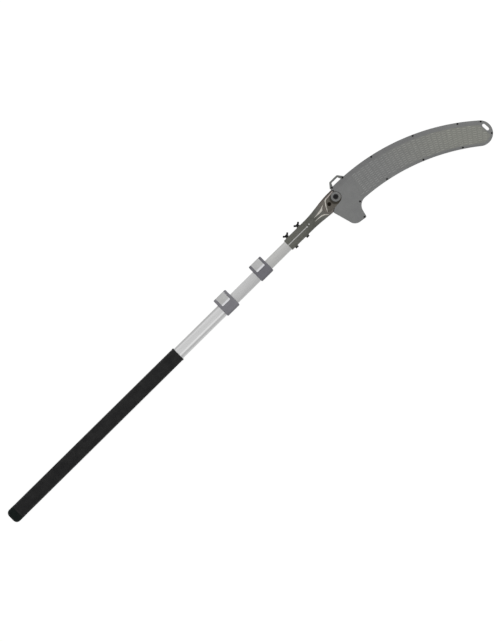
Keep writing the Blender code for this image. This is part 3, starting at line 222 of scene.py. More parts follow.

# %% [markdown]
# The three tubes are drawn aluminium, so their grain is stretched far along the pole. Broad lighter
# and darker lines across each tube are a painted reflection: a painted highlight and dark bands that
# stand for the studio mirrored in the curved metal. The lines come from one colour ramp across the
# tube: each stop is a place from 0 to 1 and a level that multiplies the grey. A ramp holds no level
# above 1, so the levels are halved in it and doubled again after it.

# %% Drawn aluminium
DRAWN = (0.03, 1.0, 1.0)
# Painted reflection levels across the outer tube, and fainter ones for the other two tubes.
OUTER_REFLECTION_LINES = ((0.0, 0.96), (0.045, 0.97), (0.11, 0.9), (0.172, 0.77), (0.23, 0.84), (0.295, 1.26),
               (0.35, 1.26), (0.41, 1.03), (0.7, 1.04), (0.78, 1.13), (0.83, 1.08), (0.905, 0.77),
               (1.0, 0.84))
PLAINER_REFLECTION_LINES = ((0.0, 0.94), (0.15, 0.89), (0.5, 1.0), (0.85, 1.1), (1.0, 1.0))
FLECK_LEVEL = 0.93


# Painted reflection: lighter and darker bands across a tube that stand for the studio mirrored in it.
def painted_reflection_lines(width, lines):
    def tint(tree, base, place):
        across = coordinate(tree, place, "Y")
        share = ranged(tree, across, BUTT.y - width / 2, BUTT.y + width / 2, 0.0, 1.0)
        ramp = put(tree, "ValToRGB", _0=share)
        stops = ramp.color_ramp.elements
        for at, level in lines[1:-1]:
            stops.new(at)
        for stop, (at, level) in zip(stops, lines):
            stop.position = at
            stop.color = (level / 2, level / 2, level / 2, 1.0)
        doubled = put(tree, "VectorMath", {"operation": "SCALE"}, _0=ramp.outputs[0], Scale=2.0)
        return mixed(tree, 1.0, base, doubled.outputs[0], "MULTIPLY")
    return tint


def aluminium(node, grey, lines):
    """The grey of each tube is its own, because the smaller tubes were anodised darker here."""
    fleck = tuple(level * FLECK_LEVEL for level in grey)
    return finish(node + "_aluminium", grey, fleck, 160.0, DRAWN, (0.26, 0.38), 0.06, 1.0,
                  tint=painted_reflection_lines(size_of(node).y, lines))


OUTER_ALUMINIUM = aluminium("outer_tube", (0.59, 0.59, 0.59), OUTER_REFLECTION_LINES)
MIDDLE_ALUMINIUM = aluminium("middle_tube", (0.51, 0.51, 0.51), PLAINER_REFLECTION_LINES)
INNER_ALUMINIUM = aluminium("inner_tube", (0.475, 0.475, 0.465), PLAINER_REFLECTION_LINES)
print("painted reflection lines on the outer tube:", len(OUTER_REFLECTION_LINES))

# %% [markdown]
# The clamps are glass-filled plastic with a fine moulded grain: dark violet grey collars and light
# levers. The lever's lip gets a paler grey of its own, a painted highlight where light catches it.

# %% Clamp finishes
LOWER_GREY = finish("lower_collar_grey", (0.2, 0.197, 0.215), (0.18, 0.177, 0.194), 90.0,
                    roughness=(0.45, 0.62), bump=0.3, wear=(0.24, 0.24, 0.255))
UPPER_GREY = finish("upper_collar_grey", (0.154, 0.151, 0.168), (0.138, 0.135, 0.152), 90.0,
                    roughness=(0.45, 0.62), bump=0.3, wear=(0.2, 0.2, 0.216))
LEVER_GREY = finish("lever_grey", (0.5, 0.5, 0.497), (0.455, 0.455, 0.452), 110.0,
                    roughness=(0.42, 0.55), bump=0.25, wear=(0.6, 0.6, 0.6))
# The lip's paler grey is a painted highlight, where light catches the lever's lip.
LIP_HIGHLIGHT_GREY = finish("lever_lip_painted_highlight", (0.74, 0.74, 0.76), (0.68, 0.68, 0.7), 110.0,
                  roughness=(0.3, 0.42), bump=0.15)
BRAKE_PLASTIC = finish("brake_plastic", (0.05, 0.05, 0.05), (0.04, 0.04, 0.042), 120.0,
                       roughness=(0.5, 0.65), bump=0.2)
GUIDE_PLASTIC = finish("guide_plastic", (0.6, 0.6, 0.58), (0.55, 0.55, 0.52), 80.0,
                       roughness=(0.4, 0.55), bump=0.15)
print("clamp finishes:", LOWER_GREY.name, UPPER_GREY.name, LEVER_GREY.name, LIP_HIGHLIGHT_GREY.name)

# %% [markdown]
# The scabbard is a harder grey plastic. Its raised panel and the bars on it turn warmer towards the
# tip. The shell is darker along its back near the mouth, and painted shade lies along its other edge
# near the tip, where the rounded rim turns away from the light. Tints do both: a tint reads where it
# is on the scabbard, and multiplies the colour there. The bars' lighter grey is a painted highlight
# on their raised tops.

# %% Scabbard finishes
TIP_WARMTH = (1.17, 1.17, 1.07)
TIP_SPAN = (0.2, 0.1)             # metres from the shell's root and from its tip
MOUTH_SHARE = 0.3                 # of the way to the tip, up to which the back is fully grimy
BACK_DARKENING = (0.88, 0.875, 0.885)
BACK_SPAN = (0.686, 0.694)        # metres from the centre of the blade's curve
EDGE_PAINTED_SHADE = (0.8, 0.8, 0.81)
EDGE_SPAN = (0.6225, 0.6265)


def share_to_tip(tree, place):
    """From 0 in the scabbard's first half to 1 near its tip."""
    low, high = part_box("scabbard_front_shell")
    along = coordinate(tree, place, "X")
    return ranged(tree, along, low.x + TIP_SPAN[0], high.x - TIP_SPAN[1], 0.0, 1.0)


def warmer_to_the_tip(tree, base, place):
    warm = mixed(tree, share_to_tip(tree, place), (1, 1, 1), TIP_WARMTH)
    return mixed(tree, 1.0, base, warm, "MULTIPLY")


def darker_back_and_painted_edge_shade(tree, base, place):
    """Darker along the scabbard's back near its mouth, and painted shade on the other edge near its tip."""
    away = put(tree, "VectorMath", {"operation": "SUBTRACT"}, _0=place, _1=draw_joint["pos_m"])
    flat = put(tree, "VectorMath", {"operation": "MULTIPLY"}, _0=away.outputs[0], _1=(1, 1, 0))
    reach = put(tree, "VectorMath", {"operation": "LENGTH"}, _0=flat.outputs[0]).outputs["Value"]
    near_tip = share_to_tip(tree, place)
    near_mouth = ranged(tree, near_tip, MOUTH_SHARE, 1.0, 1.0, 0.0)
    back = calculated(tree, "MULTIPLY", ranged(tree, reach, *BACK_SPAN, 0.0, 1.0), near_mouth)
    # Painted shade along the rim near the tip, where the rounded edge turns away from the light.
    edge = calculated(tree, "MULTIPLY", ranged(tree, reach, *EDGE_SPAN, 1.0, 0.0), near_tip)
    return tinted(tree, edge, tinted(tree, back, base, BACK_DARKENING), EDGE_PAINTED_SHADE)


SHELL_GREY = finish("scabbard_grey", (0.184, 0.186, 0.184), (0.168, 0.17, 0.169), 40.0,
                    roughness=(0.42, 0.58), bump=0.3, wear=(0.24, 0.242, 0.24), tint=darker_back_and_painted_edge_shade)
PANEL_GREY = finish("scabbard_panel_grey", (0.182, 0.184, 0.181), (0.166, 0.168, 0.166), 40.0,
                    roughness=(0.45, 0.6), bump=0.3, tint=warmer_to_the_tip)
# The bars' lighter grey is a painted highlight on their raised tops.
BAR_HIGHLIGHT_GREY = finish("relief_bar_painted_highlight", (0.285, 0.287, 0.281), (0.24, 0.242, 0.237), 60.0,
                  roughness=(0.36, 0.5), bump=0.25, tint=warmer_to_the_tip)
LOOP_GREY = finish("loop_grey", (0.15, 0.154, 0.15), (0.135, 0.14, 0.135), 80.0,
                   roughness=(0.42, 0.58), bump=0.25, wear=(0.22, 0.22, 0.215))
print("scabbard finishes:", SHELL_GREY.name, PANEL_GREY.name, BAR_HIGHLIGHT_GREY.name, LOOP_GREY.name)

# %% [markdown]
# The head is a painted casting, olive grey and a little browner towards the tang bolt, where grease
# and sap stain it. It is paler at both ends, and painted shade darkens the seat's upper edge, where
# it slopes away from the light. Its ridges are rubbed down to bare metal and also carry a painted
# highlight, which is a finish of its own for the pieces that stand for them.

# %% Casting finishes
STAIN = (1.12, 1.0, 0.97)
STAIN_SPAN = (0.033, 0.01)        # metres from the tang bolt
STAIN_WAVE = (70.0, 4.0, -0.03)   # the noise's grain and detail, and how far it moves the edge
SOCKET_FADE = (1.29, 1.28, 1.29)
SOCKET_SPAN = (0.04, 0.09)        # metres from the socket's mouth
SEAT_FADE = (1.31, 1.3, 1.38)
SEAT_SPAN = (0.107, 0.132)
TOP_PAINTED_SHADE = (0.68, 0.62, 0.62)
TOP_SPAN = (0.0218, 0.0248)       # metres from the pole's axis


def stained_and_shaded(node):
    """The colour turns browner near this bolt, paler towards both ends, and painted shade darkens the upper
    edge.
    """
    low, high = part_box(node)
    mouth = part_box("head_bracket")[0].x

    def tint(tree, base, place):
        away = wavy_distance(tree, place, (low + high) / 2, *STAIN_WAVE)
        along = coordinate(tree, place, "X")
        across = coordinate(tree, place, "Y")
        # The last tint is painted shade on the upper edge, where the casting slopes away from the light.
        for value, start, span, levels, colour in (
                (away, 0.0, STAIN_SPAN, (0.0, 1.0), STAIN),
                (along, mouth, SOCKET_SPAN, (1.0, 0.0), SOCKET_FADE),
                (along, mouth, SEAT_SPAN, (0.0, 1.0), SEAT_FADE),
                (across, BUTT.y, TOP_SPAN, (0.0, 1.0), TOP_PAINTED_SHADE)):
            share = ranged(tree, value, start + span[0], start + span[1], *levels)
            base = tinted(tree, share, base, colour)
        return base
    return tint


CASTING = finish("olive_casting", (0.098, 0.099, 0.086), (0.078, 0.079, 0.067), 120.0,
                 roughness=(0.4, 0.6), bump=0.5, metallic=0.35, wear=(0.24, 0.235, 0.215),
                 tint=stained_and_shaded("tang_bolt"))
# These bright finishes are partly rubbed bare metal and partly a painted highlight.
RUBBED_HIGHLIGHT_CASTING = finish("rubbed_casting_painted_highlight", (0.56, 0.54, 0.49), (0.42, 0.4, 0.36), 160.0,
                        roughness=(0.3, 0.45), bump=0.3, metallic=0.7)
RUBBED_HIGHLIGHT_SEAT = finish("rubbed_seat_painted_highlight", (0.4, 0.36, 0.34), (0.32, 0.285, 0.265), 160.0,
                     roughness=(0.35, 0.5), bump=0.3, metallic=0.4)
print("casting finishes:", CASTING.name, RUBBED_HIGHLIGHT_CASTING.name, RUBBED_HIGHLIGHT_SEAT.name)

# %% [markdown]
# Bolts and nuts are blackened or zinc plated steel. The blade is ground steel, so its grain is
# stretched too, but across the pole, the way the wheel went. Painted shade darkens its tang near the
# bolts, and a painted shadow lies round the clamping disc.

# %% Steel finishes
BLACK_STEEL = finish("black_steel", (0.006, 0.006, 0.008), (0.012, 0.011, 0.011), 200.0,
                     roughness=(0.4, 0.6), bump=0.3, metallic=0.3, wear=(0.035, 0.033, 0.032),
                     shine=0.15)
TANG_BLACK = finish("tang_bolt_black", (0.006, 0.004, 0.002), (0.012, 0.008, 0.005), 200.0,
                    roughness=(0.45, 0.65), bump=0.3, metallic=0.3, shine=0.08)
ZINC_STEEL = finish("zinc_steel", (0.46, 0.46, 0.45), (0.38, 0.38, 0.37), 150.0,
                    roughness=(0.3, 0.45), bump=0.15, metallic=1.0)
DISC_GREY = finish("disc_grey", (0.185, 0.186, 0.184), (0.15, 0.151, 0.149), 140.0,
                   roughness=(0.35, 0.5), bump=0.3, metallic=0.3, wear=(0.26, 0.26, 0.257))
RIVET_BLACK = finish("rivet_black", (0.006, 0.006, 0.006), (0.011, 0.011, 0.011), 300.0,
                     roughness=(0.35, 0.5), bump=0.2, metallic=0.3, shine=0.12)
GROUND = (1.0, 0.08, 1.0)
# Painted shade on the tang near the bolts, and a painted shadow round the clamping disc.
TANG_PAINTED_SHADE = (0.235, 0.22, 0.2)
TANG_FADE = 0.03                  # metres past the blade bolt
DISC_PAINTED_SHADOW = (0.4, 0.4, 0.38)
SHADOW_OFF = Vector((-1.8, -2.2, 0)) * MM
SHADOW_SPAN = (0.0205, 0.0235)    # metres from the middle of the painted shadow
SHADOW_WAVE = (160.0, 3.0, 0.004)
SHADOW_END = (-0.004, 0.006)      # metres past the blade bolt


def painted_tang_shade(tree, base, place):
    """Painted shade darkens the tang near the bolts, and a painted shadow lies round the clamping disc."""
    low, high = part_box("blade_bolt")
    along = coordinate(tree, place, "X")
    # Painted shade on the tang, fading out past the blade bolt.
    base = tinted(tree, ranged(tree, along, high.x, high.x + TANG_FADE, 1.0, 0.0), base, TANG_PAINTED_SHADE)
    # A painted shadow in an uneven ring round the clamping disc.
    away = wavy_distance(tree, place, (low + high) / 2 + SHADOW_OFF, *SHADOW_WAVE)
    near = ranged(tree, away, *SHADOW_SPAN, 1.0, 0.0)
    before = ranged(tree, along, high.x + SHADOW_END[0], high.x + SHADOW_END[1], 1.0, 0.0)
    return tinted(tree, calculated(tree, "MULTIPLY", near, before), base, DISC_PAINTED_SHADOW)


BLADE_STEEL = finish("blade_steel", (0.5, 0.49, 0.47), (0.43, 0.42, 0.4), 90.0, GROUND,
                     (0.22, 0.36), 0.12, 1.0, tint=painted_tang_shade)
print("finishes:", len(bpy.data.materials))

# %% [markdown]
# Parts whose solids already have the right shape stay as they are and only change their finish.
# They are the blade, the hidden slides and brakes, the hinge pins, the screws under the collars,
# the nuts behind the blade seat and the washers.

# %% Finish the parts that stay
STAYING = {
    "middle_tail_guide": GUIDE_PLASTIC, "inner_tail_guide": GUIDE_PLASTIC,
    "lower_brake_shoe": BRAKE_PLASTIC, "upper_brake_shoe": BRAKE_PLASTIC,
    "lower_hinge_pin": ZINC_STEEL, "upper_hinge_pin": ZINC_STEEL,
    "lower_collar_screw": ZINC_STEEL, "upper_collar_screw": ZINC_STEEL,
    "blade_bolt_nut": ZINC_STEEL, "tang_bolt_nut": ZINC_STEEL,
    "saw_blade": BLADE_STEEL, "rear_washer": BLACK_STEEL, "front_washer": BLACK_STEEL,
}
for node, new_finish in STAYING.items():
    for material_slot in frame["nodes"][node].material_slots:
        material_slot.material = new_finish
print("parts that stay:", len(STAYING))

# %% [markdown]
# The modelling rests on a few helpers. One draws a flat face from a few corners and rounds each
# corner with a vertex bevel, and another pulls the face into a solid. A real part is often made
# in the same way, cut from a plate or pressed through a die.

# %% Draw and pull
ACROSS_POLE = Matrix(((0, 0, 1), (1, 0, 0), (0, 1, 0))).to_4x4()   # drawing x, y, z -> y, z, x
LEVEL = MM / 100                  # two heights nearer than this are the same
MERGED = MM / 500                 # two points nearer than this become one


def rounded(bm, geom, affect, offset, steps):
    return bmesh.ops.bevel(bm, geom=geom, affect=affect, offset=offset, segments=steps, profile=0.5,
                           material=-1)


def round_corner(bm, corner, rounding, steps, most=None):
    """Rounds a corner of a flat outline; most is the share of an edge that it may use up."""
    before, after = (edge.other_vert(corner).co - corner.co for edge in corner.link_edges)
    reach = rounding / math.tan(before.angle(after) / 2)
    if most:
        reach = min(reach, most * before.length, most * after.length)
    return rounded(bm, [corner], "VERTICES", reach, steps)


def drawn(corners, steps=8):
    """A mesh with one flat face from (x, y, rounding) corners, on z = 0."""
    bm = bmesh.new()
    points = [bm.verts.new((x, y, 0)) for x, y, rounding in corners]
    bm.faces.new(points)
    for point, (x, y, rounding) in zip(points, corners):
        if rounding > 0:
            round_corner(bm, point, rounding, steps)
    return bm


def oval(width, depth, corner, steps=12):
    x, y = width / 2, depth / 2
    return drawn([(x, y, corner), (-x, y, corner), (-x, -y, corner), (x, -y, corner)], steps)


def verts_in(geometry):
    return [item for item in geometry if isinstance(item, bmesh.types.BMVert)]


def extruded(bm, faces, by):
    """Pulls faces up by a height and leaves the old ones where they were."""
    made = bmesh.ops.extrude_face_region(bm, geom=faces)["geom"]
    bmesh.ops.translate(bm, vec=(0, 0, by), verts=verts_in(made))


def pulled(bm, low, high, edge=0.0, edge_steps=3):
    """The drawn face becomes a solid from low to high; edge rounds both its rims."""
    bmesh.ops.translate(bm, vec=(0, 0, low), verts=bm.verts)
    extruded(bm, bm.faces[:], high - low)
    bmesh.ops.recalc_face_normals(bm, faces=bm.faces)
    if edge:
        rims = [e for e in bm.edges if abs(e.verts[0].co.z - e.verts[1].co.z) < LEVEL]
        rounded(bm, rims, "EDGES", edge, edge_steps)
    return bm


def moved(bm, matrix):
    bmesh.ops.transform(bm, matrix=matrix, verts=bm.verts)
    return bm


def across_pole(bm):
    """Turns a solid that was drawn flat so that its height runs along the pole."""
    return moved(bm, ACROSS_POLE)


sample = oval(40 * MM, 32 * MM, 12 * MM)
print("an oval has", len(sample.verts), "points")
sample.free()

# %% [markdown]
# Blocks and round bars are the tools that cut slots and holes, and a boolean does the cutting. The
# exact solver can leave out a sliver of a triangle where surfaces nearly touch, so what it made is
# merged, and any small hole of that kind is filled.


# %% Blocks, bars and cuts
def block(low, high):
    bm = bmesh.new()
    bmesh.ops.create_cube(bm, size=1)
    bmesh.ops.scale(bm, vec=Vector(high) - Vector(low), verts=bm.verts)
    bmesh.ops.translate(bm, vec=(Vector(low) + Vector(high)) / 2, verts=bm.verts)
    return bm


def bar(radius, start, end, sides=32):
    """A round bar from start to end."""
    start, end = Vector(start), Vector(end)
    turn = Vector((0, 0, 1)).rotation_difference(end - start).to_matrix().to_4x4()
    bm = bmesh.new()
    bmesh.ops.create_cone(bm, cap_ends=True, segments=sides, radius1=radius, radius2=radius,
                          depth=(end - start).length,
                          matrix=Matrix.Translation((start + end) / 2) @ turn)
    return bm


def laid_out(bm, name):
    mesh = bpy.data.meshes.new(name)
    bm.to_mesh(mesh)
    bm.free()
    piece = bpy.data.objects.new(name, mesh)
    scene.collection.objects.link(piece)
    return piece


def combined(bm, tools, operation):
    work = laid_out(bm, "work")
    cutters = [laid_out(tool, "tool") for tool in tools]
    for cutter in cutters:
        step = work.modifiers.new(operation.lower(), "BOOLEAN")
        step.operation = operation
        step.solver = "EXACT"
        step.object = cutter
    bpy.context.view_layer.update()
    result = bmesh.new()
    result.from_object(work, bpy.context.evaluated_depsgraph_get())
    for spare in [work] + cutters:
        data = spare.data
        bpy.data.objects.remove(spare)
        bpy.data.meshes.remove(data)
    bmesh.ops.remove_doubles(result, verts=result.verts, dist=MERGED)
    slivers = [edge for edge in result.edges if edge.is_boundary]
    if bmesh.ops.holes_fill(result, edges=slivers, sides=4)["faces"]:
        bmesh.ops.recalc_face_normals(result, faces=result.faces)
    return result


def carved(bm, *tools):
    return combined(bm, tools, "DIFFERENCE")


def joined(bm, *tools):
    return combined(bm, tools, "UNION")


def kept_inside(bm, tool):
    return combined(bm, [tool], "INTERSECT")


def put_beside(bm, other):
    """Adds the faces of another mesh, which may touch or sink in but aren't joined."""
    mesh = bpy.data.meshes.new("beside")
    other.to_mesh(mesh)
    other.free()
    bm.from_mesh(mesh)
    bpy.data.meshes.remove(mesh)


# %% [markdown]
# The last helper sets a finished mesh down on the saw: it moves the mesh from the bench to its
# place, marks the corners that stay sharp, gives it a finish, lets it ride on its body and hides
# the solids that it stands for.

# %% Set a piece down on the saw
SHARP_ABOVE = 30.0


def set_down(bm, name, body, material, stands_for=(), sharp=SHARP_ABOVE):
    bmesh.ops.translate(bm, vec=BUTT, verts=bm.verts)
    open_edges = sum(len(edge.link_faces) != 2 for edge in bm.edges)
    piece = laid_out(bm, name)
    piece.data.shade_smooth()
    piece.data.set_sharp_from_angle(angle=math.radians(sharp))
    piece.data.materials.append(material)
    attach(piece, body)
    if stands_for:
        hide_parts(*stands_for)
    print(name, len(piece.data.polygons), "faces,", open_edges, "open edges")
    return piece


# %% [markdown]
# The tubes are flat-sided ovals. The face is drawn across the pole, a smaller face is set into it
# and removed, and the ring that is left is pulled along the pole. That is how an extrusion die
# works too. Windows for the brake shoes and holes for screws and bolts are cut afterwards.

# %% The tubes' sections
OUTER_SIZE = (size_of("outer_tube").y, size_of("outer_tube").z)
MIDDLE_SIZE = (size_of("middle_tube").y, size_of("middle_tube").z)
INNER_SIZE = (size_of("inner_tube").y, size_of("inner_tube").z)
OUTER_CORNER = 12.0 * MM
OUTER_WALL = 1.8 * MM
THIN_WALL = 1.4 * MM
MIDDLE_CORNER = OUTER_CORNER - (OUTER_SIZE[0] - MIDDLE_SIZE[0]) / 2
INNER_CORNER = MIDDLE_CORNER - (MIDDLE_SIZE[0] - INNER_SIZE[0]) / 2


def ring(width, depth, corner, wall):
    bm = oval(width, depth, corner)
    bmesh.ops.inset_region(bm, faces=bm.faces[:], thickness=wall, use_even_offset=True,
                           use_boundary=True)
    inside = max(bm.faces, key=lambda face: face.calc_area())
    bmesh.ops.delete(bm, geom=[inside], context="FACES_ONLY")
    return bm


print("inner tube, mm:", [round(value / MM, 2) for value in INNER_SIZE])

# %% Tubes
SIX_BORE = 3.35 * MM              # for a bolt of six millimetres
SCREW_BORE = 2.3 * MM
WINDOW_DEPTH = 4 * MM


def shoe_window(prefix):
    low, high = on_bench(prefix + "_brake_shoe")
    return block(low - Vector((GAP, WINDOW_DEPTH, GAP)), high + Vector((GAP, GAP, GAP)))


def screw_hole(prefix):
    x = middle_of(prefix + "_collar_screw").x
    return bar(SCREW_BORE, (x, 0, on_bench(prefix + "_collar_screw")[0].z - MM), (x, 0, 0))


def bolt_hole(prefix):
    low, high = on_bench(prefix + "_clamp_bolt")
    x = (low.x + high.x) / 2
    return bar(SIX_BORE, (x, low.y, 0), (x, high.y, 0))


def tube(node, size, corner, wall, body, material, holes):
    low, high = on_bench(node)
    solid = across_pole(pulled(ring(*size, corner, wall), low.x, high.x))
    set_down(carved(solid, *holes), node + "_drawn", body, material, [node])


tube("outer_tube", OUTER_SIZE, OUTER_CORNER, OUTER_WALL, "outer_pole", OUTER_ALUMINIUM,
     [shoe_window("lower"), screw_hole("lower")])
tube("middle_tube", MIDDLE_SIZE, MIDDLE_CORNER, THIN_WALL, "middle_pole", MIDDLE_ALUMINIUM,
     [shoe_window("upper"), screw_hole("upper")])
tube("inner_tube", INNER_SIZE, INNER_CORNER, THIN_WALL, "inner_pole", INNER_ALUMINIUM,
     [bolt_hole("rear"), bolt_hole("front")])

# %% [markdown]
# The butt cap is a moulded dome with a hollow plug that grips the inside of the tube. One oval is
# pulled to the cap's length, the rim at the butt gets a wide bevel, and the face towards the tube
# is inset and pulled out into the plug, then inset again and pushed back to hollow it.

# %% Butt cap
GRIP_SIZE = (size_of("rubber_grip").y, size_of("rubber_grip").z)
GRIP_CORNER = OUTER_CORNER + (GRIP_SIZE[0] - OUTER_SIZE[0]) / 2
CAP_LENGTH = on_bench("rubber_grip")[0].x - GAP
CAP_ROUNDING = 13.6 * MM
PLUG_GAP = (GRIP_SIZE[0] - OUTER_SIZE[0]) / 2 + OUTER_WALL + GAP
PLUG_LENGTH = on_bench("butt_cap")[1].x - CAP_LENGTH
PLUG_WALL = 2.4 * MM


def face_at(bm, z):
    """The largest face that lies at height z."""
    level = [f for f in bm.faces if all(abs(v.co.z - z) < LEVEL for v in f.verts)]
    return max(level, key=lambda face: face.calc_area())


def inset_and_pull(bm, z, inset, pull):
    bmesh.ops.inset_region(bm, faces=[face_at(bm, z)], thickness=inset, use_even_offset=True)
    left_behind = face_at(bm, z)
    extruded(bm, [left_behind], pull)
    bmesh.ops.delete(bm, geom=[left_behind], context="FACES_ONLY")


cap = pulled(oval(*GRIP_SIZE, GRIP_CORNER), 0, CAP_LENGTH)
butt_rim = [e for e in cap.edges if all(abs(v.co.z) < LEVEL for v in e.verts)]
rounded(cap, butt_rim, "EDGES", CAP_ROUNDING, 12)
inset_and_pull(cap, CAP_LENGTH, PLUG_GAP, PLUG_LENGTH)
inset_and_pull(cap, CAP_LENGTH + PLUG_LENGTH, PLUG_WALL, -PLUG_LENGTH)
set_down(across_pole(cap), "butt_cap_dome", "outer_pole", CAP_RUBBER, ["butt_cap"])

# %% [markdown]
# The grip is a rubber sleeve with rows of short raised bars that keep a wet glove from turning.
# To spread the bars evenly, a walk round the oval takes turns with a flat stretch and a quarter
# of a circle, and gives a point and its outward direction wherever a bar is due.


# %% A walk round an oval
def round_oval(width, depth, corner, count, shift=0.0):
    """Evenly spaced (point, outward direction) pairs round a flat-sided oval."""
    flat_y, flat_z = width / 2 - corner, depth / 2 - corner
    quarter = corner * math.pi / 2
    whole = 4 * (flat_y + flat_z + quarter)
    for number in range(count):
        walk = (number + shift) / count * whole
        for turn, half_flat in enumerate((flat_y, flat_z, flat_y, flat_z)):
            out = Matrix.Rotation(turn * math.pi / 2, 2) @ Vector((0, 1))
            side = Vector((out.y, -out.x))
            level = (flat_z if turn % 2 == 0 else flat_y) + corner
            if walk <= 2 * half_flat:
                yield out * level + side * (half_flat - walk), out
                break
            walk -= 2 * half_flat
            if walk <= quarter:
                lean = Matrix.Rotation(walk / corner, 2)
                yield out * (level - corner) - side * half_flat + lean @ out * corner, lean @ out
                break
            walk -= quarter


# %% [markdown]
# A bar is a cube whose outer face is drawn in, because such a small shape is repeated hundreds of
# times and has to stay simple. Its foot is sunk into the surface, so that no gap can show.

# %% A raised bar
BAR_SUNK = 0.5 * MM
GRIP_BAR = (1.8 * MM, 5.6 * MM)   # along the pole and round it
GRIP_BAR_RISE = 0.7 * MM
GRIP_BAR_TOP = 0.55               # the top's length, as a share of the foot's


def add_stud(bm, at, along, outward, size, rise, top):
    """A small block with a narrower top, its foot sunk into the surface."""
    sideways = outward.cross(along)
    turn = Matrix((along, sideways, outward)).transposed().to_4x4()
    made = bmesh.ops.create_cube(bm, size=1, matrix=Matrix.Translation(at) @ turn)["verts"]
    for vert in made:
        where = vert.co - at
        share = top if where.dot(outward) > 0 else 1.0
        vert.co = (at + along * where.dot(along) * size[0] * share
                   + sideways * where.dot(sideways) * size[1] * (1 - (1 - share) * size[0] / size[1])
                   + outward * (where.dot(outward) * (rise + BAR_SUNK) + (rise - BAR_SUNK) / 2))


print("a grip bar, mm:", [round(value / MM, 2) for value in GRIP_BAR])

# %% [markdown]
# The sleeve itself is a pulled ring, made a little slimmer than the solid so that the bars end
# where its surface is. Every second row of bars is shifted, and a smooth band closes each end.

# %% Grip sleeve
ROW_PITCH = 4.2 * MM
PLAIN_END = 9.0 * MM
BARS_AROUND = 18
SLEEVE_WALL = 2.6 * MM
BAND_LENGTH = 6 * MM
BAND_WALL = 1.5 * MM
SOFT_EDGE = 0.5 * MM

grip_low, grip_high = on_bench("rubber_grip")
sleeve_size = (GRIP_SIZE[0] - 2 * GRIP_BAR_RISE, GRIP_SIZE[1] - 2 * GRIP_BAR_RISE,
               GRIP_CORNER - GRIP_BAR_RISE)
sleeve = across_pole(pulled(ring(*sleeve_size, SLEEVE_WALL), grip_low.x, grip_high.x, SOFT_EDGE))
rows = int((grip_high.x - grip_low.x - 2 * PLAIN_END) / ROW_PITCH)
studs = bmesh.new()
for row in range(rows + 1):
    x = grip_low.x + PLAIN_END + row * ROW_PITCH
    for point, out in round_oval(*sleeve_size, BARS_AROUND, row % 2 / 2):
        add_stud(studs, Vector((x, point.x, point.y)), Vector((1, 0, 0)), Vector((0, out.x, out.y)),
                 GRIP_BAR, GRIP_BAR_RISE, GRIP_BAR_TOP)
put_beside(sleeve, studs)
for end in (grip_low.x, grip_high.x - BAND_LENGTH):
    put_beside(sleeve, across_pole(pulled(ring(*GRIP_SIZE, GRIP_CORNER, BAND_WALL), end,
                                          end + BAND_LENGTH, SOFT_EDGE)))
set_down(sleeve, "grip_sleeve", "outer_pole", GRIP_RUBBER, ["rubber_grip"])

# %% [markdown]
# Each clamp has a collar: one outline across the pole, with two ears for the hinge, pulled to the
# collar's length and rounded well at both ends. The bay for the lever, the seats for both tubes,
# the window of the brake shoe and the holes are then cut away one after another.

# %% Clamp collars
COLLAR_EDGE = 2.8 * MM
COLLAR_LIP = 6.3 * MM
FOOT_ROUND = 5 * MM
BACK_ROUND = 9 * MM
EAR_REACH = 14.3 * MM
EAR_FOOT = (-9 * MM, 2 * MM)      # height and rounding
EAR_HEEL = (-4.5 * MM, 6.4 * MM)
EAR_ROUND = 8 * MM
LEVER_ROOM = 2.8 * MM             # from the tube to the shelf under the lever
PIN_Z = 5.0 * MM
PIN_BORE = 2.35 * MM
SCREW_SINK = (4.1 * MM, 1.75 * MM)   # radius and depth


def grown(size, corner, by):
    return size[0] + 2 * by, size[1] + 2 * by, corner + by


def collar(prefix, body, material, big, big_corner, small, small_corner):
    low, high = on_bench(prefix + "_collar")
    lever_low, lever_high = on_bench(prefix + "_cam_lever")
    pin = middle_of(prefix + "_hinge_pin")
    screw_low, screw_high = on_bench(prefix + "_collar_screw")
    half = high.y - EAR_REACH
    shelf = big[1] / 2 + LEVER_ROOM
    outline = drawn([(-half, low.z, FOOT_ROUND), (half, low.z, FOOT_ROUND), (half, *EAR_FOOT),
                     (high.y, *EAR_HEEL), (high.y, high.z, EAR_ROUND), (-half, high.z, BACK_ROUND)])
    solid = across_pole(pulled(outline, low.x, high.x, COLLAR_EDGE, 5))
    screw_x = (screw_low.x + screw_high.x) / 2
    bay = (lever_low.x - GAP, lever_high.x + GAP)
    seat_end = high.x - COLLAR_LIP + GAP
    piece = carved(
        solid,
        block((bay[0], lever_low.y - GAP, shelf), (bay[1], high.y + MM, high.z + MM)),
        block((bay[0], half, low.z - MM), (bay[1], high.y + MM, high.z + MM)),
        across_pole(pulled(oval(*grown(big, big_corner, GAP)), low.x - MM, seat_end)),
        across_pole(pulled(oval(*grown(small, small_corner, GAP)), low.x - MM, high.x + MM)),
        shoe_window(prefix),
        bar(PIN_BORE, (low.x - MM, pin.y, PIN_Z), (high.x + MM, pin.y, PIN_Z)),
        bar(SCREW_BORE, (screw_x, 0, low.z - MM), (screw_x, 0, 0)),
        bar(SCREW_SINK[0], (screw_x, 0, low.z - MM), (screw_x, 0, screw_low.z + SCREW_SINK[1])),
    )
    set_down(piece, prefix + "_collar_block", body, material, [prefix + "_collar"])


collar("lower", "outer_pole", LOWER_GREY, OUTER_SIZE, OUTER_CORNER, MIDDLE_SIZE, MIDDLE_CORNER)
collar("upper", "middle_pole", UPPER_GREY, MIDDLE_SIZE, MIDDLE_CORNER, INNER_SIZE, INNER_CORNER)

# %% [markdown]
# The cam lever wraps from its cam at the hinge pin over the collar's shelf to a raised lip for the
# thumb. It is drawn along the pin, pulled to its width, and then kept inside a plan outline with
# rounded corners, which is a quick way to round a shape in two directions.

